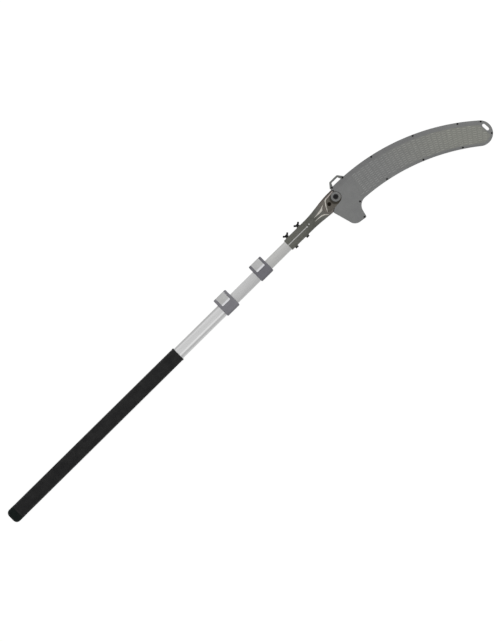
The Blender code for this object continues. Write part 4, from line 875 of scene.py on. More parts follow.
# %% Cam levers
CAM_RADIUS = 5.0 * MM
CAM_TAIL = (1.6 * MM, 1.5 * MM)   # past the pin, and its rounding
HEEL_RISE = (1.3 * MM, 2 * MM)    # above the pin, and its rounding
KNUCKLE_ROUND = 8 * MM
LEVER_EDGE = 0.6 * MM
LIP_WIDTH = 4.6 * MM
LIP_HEIGHT = 1.8 * MM
LIP_ROUND = 0.8 * MM
LIP_FROM = 0.2 * MM               # above the lever's top, where the painted highlight begins
TIP_CORNER = 2.6 * MM
PLAN_SPAN = (-30 * MM, 40 * MM)


def cam_lever(prefix, body, shelf):
    low, high = on_bench(prefix + "_cam_lever")
    pin_y = middle_of(prefix + "_hinge_pin").y
    top = high.z - LIP_HEIGHT
    inner = pin_y - CAM_RADIUS
    outline = drawn([
        (inner, PIN_Z - CAM_RADIUS, CAM_RADIUS), (pin_y + CAM_TAIL[0], PIN_Z - CAM_RADIUS, CAM_TAIL[1]),
        (high.y, PIN_Z + HEEL_RISE[0], HEEL_RISE[1]), (high.y, top, KNUCKLE_ROUND),
        (low.y + LIP_WIDTH + LIP_HEIGHT, top, LIP_ROUND), (low.y + LIP_WIDTH, high.z, LIP_ROUND),
        (low.y, high.z, LIP_ROUND), (low.y, shelf + GAP, LIP_ROUND), (inner, shelf + GAP, LIP_ROUND)])
    solid = across_pole(pulled(outline, low.x, high.x, LEVER_EDGE, 3))
    plan = pulled(drawn([(low.x, low.y, TIP_CORNER), (high.x, low.y, TIP_CORNER),
                         (high.x, high.y + MM, 0), (low.x, high.y + MM, 0)]), *PLAN_SPAN)
    piece = carved(kept_inside(solid, plan),
                   bar(PIN_BORE, (low.x - MM, pin_y, PIN_Z), (high.x + MM, pin_y, PIN_Z)))
    lever = set_down(piece, prefix + "_lever_arm", body, LEVER_GREY, [prefix + "_cam_lever"])
    # The lip gets the paler grey, a painted highlight where light catches it.
    lever.data.materials.append(LIP_HIGHLIGHT_GREY)
    for polygon in lever.data.polygons:
        if polygon.center.z > BUTT.z + top + LIP_FROM:
            polygon.material_index = 1


cam_lever("lower", "lower_lever", OUTER_SIZE[1] / 2 + LEVER_ROOM)
cam_lever("upper", "upper_lever", MIDDLE_SIZE[1] / 2 + LEVER_ROOM)

# %% [markdown]
# The head is one casting. It begins as an oval socket, flows into a flat blade seat, and is cut
# by a slit, a pocket and a recess. The flowing part is a loft: a rounded ring is drawn at each
# station along the neck, and bridging the rings one after another gives a skin with clean lines.

# %% The casting's stations
head_low, head_high = on_bench("head_bracket")
HEAD_X = head_low.x
SOCKET_SIZE = (37.6 * MM, 29.6 * MM)
SOCKET_CORNER = INNER_CORNER + (SOCKET_SIZE[0] - INNER_SIZE[0]) / 2
SOCKET_RINGS = (0, 29 * MM, 58 * MM)
NECK = (87 * MM, 107 * MM, 74 * MM)       # start, length, length of the part that thins
NECK_RINGS = 26
SEAT = (28.2 * MM, 25.4 * MM, 4.2 * MM, -9.2 * MM, 3.0 * MM)   # upper, lower, top, bottom, corner


def eased(share):
    share = min(max(share, 0.0), 1.0)
    return share * share * (3 - 2 * share)


def neck_corners(along):
    """(y, z, rounding) corners of the casting at this length from its rear edge."""
    wide = eased((along - NECK[0]) / NECK[1])
    thin = eased((along - NECK[0]) / NECK[2])
    y, z = SOCKET_SIZE[0] / 2, SOCKET_SIZE[1] / 2
    upper = y + (SEAT[0] - y) * wide
    lower = -y - (SEAT[1] - y) * wide
    top = z + (SEAT[2] - z) * thin
    bottom = -z + (SEAT[3] + z) * thin
    rounding = SOCKET_CORNER + (SEAT[4] - SOCKET_CORNER) * thin
    return [(upper, top, rounding), (lower, top, rounding), (lower, bottom, rounding),
            (upper, bottom, rounding)]


def neck_top(along):
    return neck_corners(along)[0][1]


print("the seat's top, mm:", round(neck_top(NECK[0] + NECK[1]) / MM, 2))


# %% Loft the casting
def add_ring(bm, along, steps=10):
    corners = neck_corners(along)
    points = [bm.verts.new((HEAD_X + along, y, z)) for y, z, rounding in corners]
    bm.faces.new(points)
    for point, (y, z, rounding) in zip(points, corners):
        made = rounded(bm, [point], "VERTICES", rounding, steps)
    return made["verts"][0].link_faces[0]


def skinned(bm, rings):
    """Bridges flat ring faces one after another, and removes those that end up inside."""
    for ring_face, next_face in zip(rings, rings[1:]):
        bmesh.ops.bridge_loops(bm, edges=list(ring_face.edges) + list(next_face.edges))
    bmesh.ops.delete(bm, geom=rings[1:-1], context="FACES_ONLY")
    bmesh.ops.recalc_face_normals(bm, faces=bm.faces)
    return bm


neck_stations = [NECK[0] + NECK[1] * step / NECK_RINGS for step in range(NECK_RINGS + 1)]
seat_end = head_high.x - HEAD_X + 2 * MM
casting = bmesh.new()
skinned(casting, [add_ring(casting, along) for along in (*SOCKET_RINGS, *neck_stations, seat_end)])
print("casting skin:", len(casting.faces), "faces")

# %% [markdown]
# The outline of the seat follows the scabbard, which slides over it. A vertex that is spun about
# a centre leaves a clean arc behind, so arcs and straight edges draw the outline like a pen, and
# the closed line is then filled. The same pen draws the scabbard further down.


# %% A pen for flat outlines
class Pen:
    """Draws a closed outline with lines and arcs, and remembers corners to round."""

    def __init__(self, x, y):
        self.bm = bmesh.new()
        self.start = self.here = self.bm.verts.new((x, y, 0))
        self.corners = []

    def line(self, x, y, rounding=0.0):
        there = self.bm.verts.new((x, y, 0))
        self.bm.edges.new((self.here, there))
        self.here = there
        if rounding:
            self.corners.append((there, rounding))
        return self

    def arc(self, centre, degrees, steps):
        made = bmesh.ops.spin(self.bm, geom=[self.here], cent=(*centre[:2], 0), axis=(0, 0, 1),
                              angle=math.radians(degrees), steps=steps, use_merge=False)
        self.here = verts_in(made["geom_last"])[0]
        return self

    def filled(self, steps=10):
        self.bm.edges.new((self.here, self.start))
        bmesh.ops.contextual_create(self.bm, geom=self.bm.edges[:])
        for corner, rounding in self.corners:
            round_corner(self.bm, corner, rounding, steps, most=0.95)
        if self.bm.faces[:][0].normal.z < 0:
            bmesh.ops.reverse_faces(self.bm, faces=self.bm.faces[:])
        return self.bm


def on_circle(centre, radius, degrees):
    turn = math.radians(degrees)
    return centre[0] + radius * math.cos(turn), centre[1] + radius * math.sin(turn)


def touching_angle(centre, radius, corner):
    """Where a line from the corner touches a circle, in degrees about its centre."""
    away = Vector((corner[0] - centre[0], corner[1] - centre[1]))
    return math.degrees(math.atan2(away.y, away.x) + math.acos(radius / away.length))


def crossing_angle(centre, radius, x):
    """Where an upright line crosses a circle's upper half, in degrees about its centre."""
    return math.degrees(math.acos((x - centre[0]) / radius))


# %% [markdown]
# The seat ends a little before the scabbard: a slanted heel, an arc round the blade bolt and a
# straight edge. One function draws it for any distance from the scabbard, because a lip deep under
# the scabbard repeats it further out, and closes the line of sight through the gap.

# %% The seat's outline
TANG_PLACE = middle_of("tang_bolt")
BOLT_PLACE = middle_of("blade_bolt")
HEEL = (TANG_PLACE.x - 8.5 * MM, -25.0 * MM)
HEEL_TOP = (TANG_PLACE.x + 3.3 * MM, -17.5 * MM)
HEEL_ROUND = 4 * MM
SEAT_RADIUS = 16.8 * MM
SEAT_ROOM = 1.3 * MM              # between the seat and the scabbard
ROOT_BACK = 15.5 * MM             # from the curve's centre back to the scabbard's straight root
ROOT_X = CURVE_CENTRE.x - ROOT_BACK
LIP_TOP = -6.0 * MM
LIP_REACH = -5.5 * MM
FAR = 60 * MM


def seat_plan(room, top):
    """The seat's outline, this far from the scabbard's, as a cutter up to a height."""
    radius = SEAT_RADIUS - room
    heel_top = (HEEL_TOP[0] - room / 2, HEEL_TOP[1] + room)
    touch = touching_angle(BOLT_PLACE, radius, heel_top)
    edge_x = ROOT_X - room
    pen = Pen(HEAD_X - MM, -FAR).line(HEEL[0] - room, -FAR)
    pen.line(HEEL[0] - room, HEEL[1] + room).line(*heel_top, HEEL_ROUND)
    pen.line(*on_circle(BOLT_PLACE, radius, touch))
    pen.arc(BOLT_PLACE, crossing_angle(BOLT_PLACE, radius, edge_x) - touch, 20)
    pen.line(edge_x, FAR).line(HEAD_X - MM, FAR)
    return pulled(pen.filled(), -FAR, top)


seat = joined(seat_plan(SEAT_ROOM, FAR), seat_plan(LIP_REACH, LIP_TOP))
print("seat outline:", len(seat.faces), "faces")

# %% [markdown]
# The tang lies in a round slot. The casting roofs its near end over, up to an arch, and is open
# above the rest, so two cutters are needed: one for the slot and one for the opening above it.

# %% Tang recess
TANG_RADIUS = 19.8 * MM
TANG_REACH = 70 * MM
SEAT_LEVEL = -1.2 * MM
ARCH_CENTRE = (1459.0 * MM, -75.0 * MM)
ARCH_RADIUS = 150.0 * MM
ARCH_TURN = (141.7, 154.7)        # degrees
ARCH_FOOT = 3 * MM                # the arch's foot, ahead of its end, and its rounding


def tang_recess():
    """A round slot takes the tang's end, and only the part right of an arch is open above it."""
    far = TANG_PLACE.x + TANG_REACH
    low, high = TANG_PLACE.y - TANG_RADIUS, TANG_PLACE.y + TANG_RADIUS
    slot = Pen(TANG_PLACE.x, high).arc(TANG_PLACE, 180, 40).line(far, low).line(far, high)
    opening = Pen(*on_circle(ARCH_CENTRE, ARCH_RADIUS, ARCH_TURN[0]))
    opening.arc(ARCH_CENTRE, ARCH_TURN[1] - ARCH_TURN[0], 30)
    foot_x = on_circle(ARCH_CENTRE, ARCH_RADIUS, ARCH_TURN[1])[0] + ARCH_FOOT
    opening.line(foot_x, low, ARCH_FOOT).line(far, low).line(far, high)
    roof = on_bench("saw_blade")[1].z + GAP
    return pulled(slot.filled(), SEAT_LEVEL, roof), pulled(opening.filled(), roof - MM, FAR)


recess = tang_recess()
print("tang recess:", len(recess), "cutters")

# %% [markdown]
# The pocket is a wedge, pointed towards the socket. It is drawn flat, tipped to the slope of the
# neck's top, and its floor climbs to the wide end, so that the pocket runs out there.

# %% Pocket
POCKET = (103 * MM, 48 * MM, 11.5 * MM, 4 * MM)   # start, length, half width, depth
POCKET_ROUNDS = (1.5 * MM, 3 * MM)        # at the point and at the corners
POCKET_RISE = 3.2 * MM


def wedge_pocket():
    start, length, half_width, depth = POCKET
    point, corner = POCKET_ROUNDS
    bm = pulled(drawn([(0, 0, point), (length, -half_width, corner), (length, half_width, corner)]),
                -depth, FAR)
    for vert in bm.verts:
        if vert.co.z < 0:
            vert.co.z += POCKET_RISE * vert.co.x / length
    slope = math.atan2(neck_top(start) - neck_top(start + length), length)
    place = Matrix.Translation((HEAD_X + start, 0, neck_top(start)))
    return moved(bm, place @ Matrix.Rotation(slope, 4, "Y"))


pocket = wedge_pocket()
print("pocket:", len(pocket.faces), "faces")

# %% [markdown]
# With its cutters ready, the casting gets bosses for the two clamp bolts, is kept inside the seat's
# outline, and is then cut: the bore for the inner tube, the slit that lets the socket close, the
# hole of a pin beyond the slit, the recess, the pocket and the holes of four bolts.

# %% Cut the casting
SOCKET_END = HEAD_X + 86 * MM
SLIT_HALF = 1.5 * MM
SLIT_END = SOCKET_END - 7.0 * MM
SLIT_END_RADIUS = 2.8 * MM
PIN_RADIUS = 2.5 * MM
PIN_PLACE = Vector((SOCKET_END + 2.6 * MM, 1.6 * MM, 0))
PIN_ROOM = 0.2 * MM
EIGHT_BORE = 4.35 * MM            # for a bolt of eight millimetres
BOSS_RADIUS = 6.6 * MM
BOSS_FACE = SOCKET_SIZE[0] / 2 + 0.8 * MM
CLAMP_X = [middle_of(prefix + "_clamp_bolt").x for prefix in ("rear", "front")]


def upright(place, radius):
    return bar(radius, (place.x, place.y, -FAR), (place.x, place.y, FAR))


casting = joined(casting, *[bar(BOSS_RADIUS, (x, -BOSS_FACE, 0), (x, BOSS_FACE, 0)) for x in CLAMP_X])
casting = carved(
    kept_inside(casting, seat),
    across_pole(pulled(oval(*grown(INNER_SIZE, INNER_CORNER, GAP)), HEAD_X - MM, SOCKET_END + GAP)),
    block((HEAD_X - MM, -SLIT_HALF, 0), (SLIT_END, SLIT_HALF, FAR)),
    bar(SLIT_END_RADIUS, (SLIT_END, 0, 0), (SLIT_END, 0, FAR)),
    bar(PIN_RADIUS + PIN_ROOM, PIN_PLACE, PIN_PLACE + Vector((0, 0, FAR))),
    *recess,
    pocket,
    upright(TANG_PLACE, SIX_BORE),
    upright(BOLT_PLACE, EIGHT_BORE),
    *[bar(SIX_BORE, (x, -FAR, 0), (x, FAR, 0)) for x in CLAMP_X],
)
set_down(casting, "head_casting", "inner_pole", CASTING, ["head_bracket"], 32.0)

# %% [markdown]
# Two ribs run beside the pocket, a low rim follows the arch over the tang and another the seat's
# upper edge. Gloves and the scabbard rub the paint off them, and their bright finish is also a
# painted highlight, so they are pieces of their own. Each is a loft again: small rings of changing
# size are set along a smooth line and bridged. The line goes through a few points, and a cubic
# formula fills in between them.

# %% A helper that makes a rib
RIB_FLATNESS = 0.42
RIB_SIDES = 12
RIB_SUNK = 0.25                   # as a share of the rib's half width


def smooth_line(points, steps=5):
    """More points on a curve that goes through all of the given ones."""
    points = [Vector(point) for point in points]
    ends = [2 * points[0] - points[1]] + points + [2 * points[-1] - points[-2]]
    for a, b, c, d in zip(ends, ends[1:], ends[2:], ends[3:]):
        for step in range(steps):
            t = step / steps
            yield 0.5 * (2 * b + (c - a) * t + (2 * a - 5 * b + 4 * c - d) * t * t
                         + (3 * b - a - 3 * c + d) * t ** 3)
    yield points[-1]


def rib(points):
    """A tapering rib on the casting's top through (x, y, half width) points in millimetres."""
    line = list(smooth_line(points))
    places = [Vector((x, y, 0)) * MM for x, y, half in line]
    bm = bmesh.new()
    rings = []
    for number, (place, (x, y, half)) in enumerate(zip(places, line)):
        along = (places[min(number + 1, len(places) - 1)] - places[max(number - 1, 0)]).normalized()
        turn = Matrix.Rotation(math.atan2(along.y, along.x), 4, "Z") @ Matrix.Rotation(math.pi / 2, 4, "Y")
        flat = Matrix.Diagonal((RIB_FLATNESS, 1, 1, 1))
        place.z = neck_top(place.x - HEAD_X) - RIB_SUNK * half * MM
        verts = bmesh.ops.create_circle(bm, segments=RIB_SIDES, radius=half * MM, cap_ends=True,
                                        matrix=Matrix.Translation(place) @ turn @ flat)["verts"]
        rings.append(verts[0].link_faces[0])
    return skinned(bm, rings)


# %% Rubbed ribs and rims with a painted highlight
ARCH_RIM_OFF = 0.6 * MM
ARCH_RIM = ((142, 2.1), (144.5, 1.6), (147.3, 2.1), (150, 1.5), (152.6, 1.3), (155, 0.5))
# Each pair of the rim is a place on the arch in degrees and a half width in millimetres.
arch = [(*(value / MM for value in on_circle(ARCH_CENTRE, ARCH_RADIUS + ARCH_RIM_OFF, turn)), half)
        for turn, half in ARCH_RIM]
RIBS = {
    "upper_pocket_rib": (RUBBED_HIGHLIGHT_CASTING, [(1281, 3.9, 0.4), (1291, 4.3, 1.5), (1300, 4.6, 2.8),
                                          (1307, 5.2, 3.7), (1312.5, 6.4, 4.0), (1317, 9.0, 2.4),
                                          (1322, 11.6, 1.2), (1327, 13.4, 0.4)]),
    "lower_pocket_rib": (RUBBED_HIGHLIGHT_CASTING, [(1275, -5.4, 0.4), (1284, -5.8, 1.0), (1293, -6.3, 1.6),
                                          (1300, -7.6, 2.1), (1306, -9.4, 2.2), (1311, -12.2, 1.8),
                                          (1315, -16.0, 1.2), (1320, -20.6, 0.5)]),
    "arch_rim": (RUBBED_HIGHLIGHT_CASTING, [(1353, 20.2, 0.8), (1347, 20.0, 1.9)] + arch),
    "seat_rim": (RUBBED_HIGHLIGHT_SEAT, [(1343, 19.8, 0.8), (1349, 20.0, 2.0), (1357, 20.4, 2.3), (1367, 21.1, 2.2),
                               (1376, 21.7, 1.2)]),
}
# Each rib's bright finish is partly rubbed bare metal and partly a painted highlight.
for name, (rubbed, points) in RIBS.items():
    set_down(rib(points), name, "inner_pole", rubbed, sharp=60.0)

# %% [markdown]
# Beyond the slit's round end a steel pin is driven into the casting. Only its head shows, a small
# disc with a chamfer, just below the casting's top.

# %% Pin beyond the slit
PIN_FOOT = 0.2 * MM
PIN_CHAMFER = 0.4 * MM
pin_top = neck_top(PIN_PLACE.x - HEAD_X) - 0.4 * MM
pin = pulled(oval(2 * PIN_RADIUS, 2 * PIN_RADIUS, PIN_RADIUS * 0.98, 10), PIN_FOOT, pin_top,
             PIN_CHAMFER, 2)
set_down(moved(pin, Matrix.Translation(PIN_PLACE)), "socket_pin", "inner_pole", ZINC_STEEL)

# %% [markdown]
# Bolts and nuts are turned or hexagonal. A turned part starts as half of its section, drawn with
# its small roundings, and one spin closes it. The spin merges its last ring with its first, and
# points on the axis are merged afterwards, so that no seam or open pole is left. A hexagon is
# kept inside a turned shape, because a real hexagon is chamfered on a lathe too.


# %% Turned and hexagonal shapes
def turned(corners, sides=40):
    """A solid of revolution about z from (radius, height, rounding) corners."""
    bm = drawn(corners, 4)
    bmesh.ops.delete(bm, geom=bm.faces[:], context="FACES_ONLY")
    on_axis = [e for e in bm.edges if all(v.co.x < MM / 1000 for v in e.verts)]
    bmesh.ops.delete(bm, geom=on_axis, context="EDGES")
    bmesh.ops.rotate(bm, cent=(0, 0, 0), matrix=Matrix.Rotation(math.pi / 2, 3, "X"), verts=bm.verts)
    bmesh.ops.spin(bm, geom=bm.verts[:] + bm.edges[:], cent=(0, 0, 0), axis=(0, 0, 1),
                   angle=2 * math.pi, steps=sides, use_merge=True)
    bmesh.ops.remove_doubles(bm, verts=bm.verts, dist=MERGED)
    bmesh.ops.recalc_face_normals(bm, faces=bm.faces)
    return bm


def rod(radius, low, high, low_round=0.0, high_round=0.0, sides=40):
    return turned([(0, low, 0), (radius, low, low_round), (radius, high, high_round), (0, high, 0)], sides)


def hexagon(corner_radius, low, high, edge):
    bm = bmesh.new()
    bmesh.ops.create_cone(bm, cap_ends=True, segments=6, radius1=corner_radius,
                          radius2=corner_radius, depth=high - low)
    bmesh.ops.translate(bm, vec=(0, 0, (low + high) / 2), verts=bm.verts)
    inner, outer = corner_radius * 0.93, corner_radius * 1.02
    return kept_inside(bm, turned([(0, low, 0), (inner, low, 0), (outer, low + edge, 0),
                                   (outer, high - edge, 0), (inner, high, 0), (0, high, 0)]))


def set_at(bm, x, y, z=0.0, turn=None):
    matrix = Matrix.Translation((x, y, z))
    return moved(bm, matrix @ turn if turn else matrix)


# %% [markdown]
# A clamp bolt is a hexagonal head and a shank across the socket. Its wing nut is a turned hub and
# two wings, each drawn as an outline that leans outwards, and all of it is joined and bored.

# %% Clamp bolts and wing nuts
FACING_Y = Matrix.Rotation(-math.pi / 2, 4, "X")
CLAMP_HEX = (5.7 * MM, 1.4 * MM)          # corner radius and chamfer
CLAMP_SHANK = (3 * MM, 0.5 * MM)          # radius and rounding
NUT_SEAT = on_bench("rear_washer")[1].y + GAP
NUT_HEIGHT = 5.6 * MM
HUB_FOOT = (5.2 * MM, 0, 0.4 * MM)        # radius, height and rounding
HUB_WAIST = (4.9 * MM, 2.4 * MM, MM)
HUB_TOP = (3.4 * MM, NUT_HEIGHT, 0.6 * MM)
WING_INSIDE = 1.2 * MM
WING_HEEL = 5.0 * MM
WING_WAIST = 3.4 * MM
WING_FOOT = 0.8 * MM
WING_STEP = 4.2 * MM
WING_ROUND = 1.2 * MM
WING_HALF = 1.5 * MM                      # half its thickness
WING_EDGE = 0.6 * MM


def clamp_bolt(prefix):
    low, high = on_bench(prefix + "_clamp_bolt")
    x = (low.x + high.x) / 2
    radius, rounding = CLAMP_SHANK
    head_top = -BOSS_FACE - GAP
    head = set_at(hexagon(CLAMP_HEX[0], low.y, head_top, CLAMP_HEX[1]), x, 0, turn=FACING_Y)
    shank = set_at(rod(radius, head_top - MM, high.y, high_round=rounding), x, 0, turn=FACING_Y)
    set_down(joined(head, shank), prefix + "_clamp_hex_bolt", "inner_pole", BLACK_STEEL,
             [prefix + "_clamp_bolt"])


def wing(side, span, rise):
    shoulder = WING_FOOT + 1.5 * WING_STEP
    corners = [(side * WING_INSIDE, WING_FOOT, 0), (side * WING_HEEL, WING_FOOT, WING_ROUND),
               (side * span, rise - WING_STEP, WING_ROUND), (side * (span - WING_STEP), rise, WING_ROUND),
               (side * WING_WAIST, shoulder, WING_ROUND), (side * WING_INSIDE, shoulder, 0)]
    return pulled(drawn(corners if side > 0 else corners[::-1], 5), -WING_HALF, WING_HALF, WING_EDGE)


def wing_nut(prefix, body):
    low, high = on_bench(prefix + "_wing_nut")
    x = (low.x + high.x) / 2
    hub = turned([(0, 0, 0), HUB_FOOT, HUB_WAIST, HUB_TOP, (0, NUT_HEIGHT, 0)])
    wings = [set_at(wing(side, (high.x - low.x) / 2, high.y - NUT_SEAT), x, NUT_SEAT) for side in (-1, 1)]
    nut = joined(set_at(hub, x, NUT_SEAT, turn=FACING_Y), *wings)
    nut = carved(nut, bar(SIX_BORE, (x, 0, 0), (x, FAR, 0)))
    set_down(nut, prefix + "_wing_nut_forged", body, BLACK_STEEL, [prefix + "_wing_nut"])


for prefix in ("rear", "front"):
    clamp_bolt(prefix)
    wing_nut(prefix, prefix + "_wing_nut_body")

# %% [markdown]
# The blade bolt's hexagon sits in the sink of a round clamping disc, which is nearly the grey of
# the scabbard. A fine groove runs round the disc between the sink and the chamfer.

# %% Clamping disc
disc_low, disc_high = on_bench("clamping_disc")
DISC_TOP = disc_high.z - disc_low.z
DISC_RADIUS = 15 * MM
DISC_CHAMFER = 1.4 * MM
SINK_RADIUS = 8.4 * MM
SINK_FLOOR = DISC_TOP - 4.2 * MM
GROOVE_RADIUS = 11.7 * MM
GROOVE_DEPTH = 0.5 * MM                   # and half its width

disc = turned([(EIGHT_BORE, SINK_FLOOR, 0), (SINK_RADIUS, SINK_FLOOR, 0.4 * MM),
               (SINK_RADIUS, DISC_TOP, 0.5 * MM), (GROOVE_RADIUS - GROOVE_DEPTH, DISC_TOP, 0.4 * MM),
               (GROOVE_RADIUS, DISC_TOP - GROOVE_DEPTH, 0.3 * MM),
               (GROOVE_RADIUS + GROOVE_DEPTH, DISC_TOP, 0.4 * MM),
               (DISC_RADIUS - DISC_CHAMFER, DISC_TOP, 0.6 * MM),
               (DISC_RADIUS, DISC_TOP - DISC_CHAMFER, 0.6 * MM), (DISC_RADIUS, 0, 0.3 * MM),
               (EIGHT_BORE, 0, 0)], 64)
set_down(set_at(disc, BOLT_PLACE.x, BOLT_PLACE.y, disc_low.z), "clamping_disc_turned",
         "inner_pole", DISC_GREY, ["clamping_disc"])

# %% [markdown]
# The two bolts through the blade go straight down. The blade bolt has a large hexagon, turned by
# half a flat. The tang bolt beside it is a dark domed screw with a hexagonal socket.

# %% Blade bolts
BLADE_HEX = (7.5 * MM, 5.5 * MM, 1.1 * MM)    # corner radius, height and chamfer
BLADE_SHANK = (4 * MM, 0.6 * MM)              # radius and rounding
TANG_SHANK = (3 * MM, 0.5 * MM)
TANG_HEAD = (6 * MM, 1.2 * MM, 2.6 * MM)      # radius, underside and dome
TANG_SOCKET = (2.4 * MM, 2.2 * MM, 0.1 * MM)  # corner radius, depth and chamfer

bolt_low, bolt_high = on_bench("blade_bolt")
head_foot = bolt_high.z - BLADE_HEX[1]
head = hexagon(BLADE_HEX[0], head_foot, bolt_high.z, BLADE_HEX[2])
shank = rod(BLADE_SHANK[0], bolt_low.z, head_foot + MM, low_round=BLADE_SHANK[1])
half_flat = Matrix.Rotation(math.pi / 6, 4, "Z")
set_down(set_at(joined(head, shank), BOLT_PLACE.x, BOLT_PLACE.y, turn=half_flat), "blade_hex_bolt",
         "inner_pole", BLACK_STEEL, ["blade_bolt"])

tang_low, tang_high = on_bench("tang_bolt")
radius, under, dome_round = TANG_HEAD
dome = turned([(0, tang_low.z, 0), (TANG_SHANK[0], tang_low.z, TANG_SHANK[1]), (TANG_SHANK[0], under, 0),
               (radius, under, 0.2 * MM), (radius, tang_high.z, dome_round), (0, tang_high.z, 0)])
socket = hexagon(TANG_SOCKET[0], tang_high.z - TANG_SOCKET[1], tang_high.z + 2 * MM, TANG_SOCKET[2])
set_down(set_at(carved(dome, socket), TANG_PLACE.x, TANG_PLACE.y), "tang_dome_bolt",
         "inner_pole", TANG_BLACK, ["tang_bolt"])

# %% [markdown]
# The scabbard is two moulded shells, riveted at the rim. Its outline follows the blade: two long
# arcs about the curve's centre, a round tip, a lobe for the hook and a notch for the disc. The pen
# spins the long arcs with one radius, and then each of their points is moved to the true width.

# %% The scabbard's width along the curve
CURVE_RADIUS = 660 * MM
CURVE_TOP = CURVE_CENTRE.y + CURVE_RADIUS
HALF_ROOT = 45.2 * MM
HALF_TIP = 38.4 * MM
TIP_AT = 457.3 * MM
INNER_START = 45.2 * MM
ROOT_AT = -ROOT_BACK


def half_width(along):
    share = max(along, 0.0) / TIP_AT
    return HALF_ROOT - (HALF_ROOT - HALF_TIP) * share * share


def on_curve(along, off=0.0):
    turn = along / CURVE_RADIUS
    reach = CURVE_RADIUS + off
    return CURVE_CENTRE.x + reach * math.sin(turn), CURVE_CENTRE.y + reach * math.cos(turn)


def long_arc(pen, start, end, side, steps, inset=0.0):
    """An arc from start to end along the curve, at the scabbard's edge or this far inside it."""
    pen.arc(CURVE_CENTRE, math.degrees((start - end) / CURVE_RADIUS), steps)
    for vert in pen.bm.verts:
        away = vert.co.xy - CURVE_CENTRE.xy
        off = away.length - CURVE_RADIUS
        if abs(off - side * (HALF_ROOT - inset)) < MM / 50:
            along = CURVE_RADIUS * math.atan2(away.x, away.y)
            vert.co.xy = on_curve(along, side * (half_width(along) - inset))


print("the scabbard's half width, mm:", round(half_width(0) / MM, 2), "to", round(HALF_TIP / MM, 2))

# %% Scabbard outline
NOTCH_RADIUS = 18.2 * MM
NOTCH_CENTRE = (BOLT_PLACE.x - 2.2 * MM, BOLT_PLACE.y - 1.0 * MM)
THROAT = (15.2 * MM, 30 * MM)             # along the curve, and its rounding
LOBE_POINT = (2.6 * MM, 91.8 * MM, 4.5 * MM)      # ahead of the curve's top, below it, rounding
LOBE_BACK = (-38.1 * MM, 85.8 * MM, 24 * MM)
LOBE_HEEL_ROUND = 3 * MM


def scabbard_plan():
    touch = touching_angle(NOTCH_CENTRE, NOTCH_RADIUS, HEEL_TOP)
    pen = Pen(*on_curve(ROOT_AT, HALF_ROOT))
    long_arc(pen, ROOT_AT, TIP_AT, 1, 72)
    pen.arc(on_curve(TIP_AT), -180, 36)
    pen.line(*on_curve(TIP_AT - MM, -HALF_ROOT))
    long_arc(pen, TIP_AT - MM, INNER_START, -1, 64)
    pen.line(*on_curve(THROAT[0], -HALF_ROOT), THROAT[1])
    for ahead, below, rounding in (LOBE_POINT, LOBE_BACK):
        pen.line(CURVE_CENTRE.x + ahead, CURVE_TOP - below, rounding)
    pen.line(*HEEL, LOBE_HEEL_ROUND).line(*HEEL_TOP, HEEL_ROUND)
    pen.line(*on_circle(NOTCH_CENTRE, NOTCH_RADIUS, touch))
    pen.arc(NOTCH_CENTRE, crossing_angle(NOTCH_CENTRE, NOTCH_RADIUS, ROOT_X) - touch, 20)
    return pen.filled(12)


# %% Scabbard cavity
SHELL_HALF = 5.4 * MM
SHELL_FACE = 2.2 * MM
SHELL_RIM = 6.5 * MM
MOUTH_AT = ROOT_AT - 30 * MM
CAVITY_AT = 440 * MM
NOSE = (456 * MM, 14 * MM, 9 * MM)        # along the curve, half width, rounding
THROAT_ROOM = (10 * MM, 26 * MM)          # along the curve, and its rounding
HOOK_ROOM = (5 * MM, 80 * MM, 80.5 * MM)  # its corner and its end behind the curve's top; below it
HOOK_ROUND = 5 * MM


def cavity_plan():
    """The room for the blade and its hook, open towards the head."""
    inside = HALF_ROOT - SHELL_RIM
    pen = Pen(*on_curve(MOUTH_AT, inside))
    long_arc(pen, MOUTH_AT, CAVITY_AT, 1, 60, SHELL_RIM)
    for side in (1, -1):
        pen.line(*on_curve(NOSE[0], side * NOSE[1]), NOSE[2])
    pen.line(*on_curve(CAVITY_AT, -inside))
    long_arc(pen, CAVITY_AT, INNER_START, -1, 56, SHELL_RIM)
    pen.line(*on_curve(THROAT_ROOM[0], -inside), THROAT_ROOM[1])
    point, end, below = HOOK_ROOM
    pen.line(CURVE_CENTRE.x - point, CURVE_TOP - below, HOOK_ROUND)
    pen.line(CURVE_CENTRE.x - end, CURVE_TOP - below)
    return pen.filled()


# %% [markdown]
# The belt loop stands over the scabbard's back near its root, and its feet are held between the
# shells by the first two rivets. It is one outline with rounded corners, pulled to its thickness.
# The same outline, drawn a little larger, is the cutter for its pockets in the shells.

# %% Belt loop
RIVET_BORE = 1.85 * MM
LOOP_FEET = (-10.1 * MM, 31.1 * MM)       # along the pole, from the curve's centre
LOOP_RISE = 16 * MM
LOOP_ROD = 6.2 * MM
LOOP_HALF = 2.3 * MM                      # half its thickness
LOOP_EDGE = 0.9 * MM
FOOT_DEPTH = 5.6 * MM
FOOT_HALF = 4 * MM
LEG_REACH = 8 * MM                        # from a leg's middle to its far side
LOOP_SHOULDER = 5 * MM
SHOULDER_ROUND = 4 * MM
FOOT_CORNER = 1.3 * MM
LEG_BEND = 2 * MM
rivet_places = [middle_of(name) for name in sorted(frame["nodes"]) if name.startswith("scabbard_rivet_")]


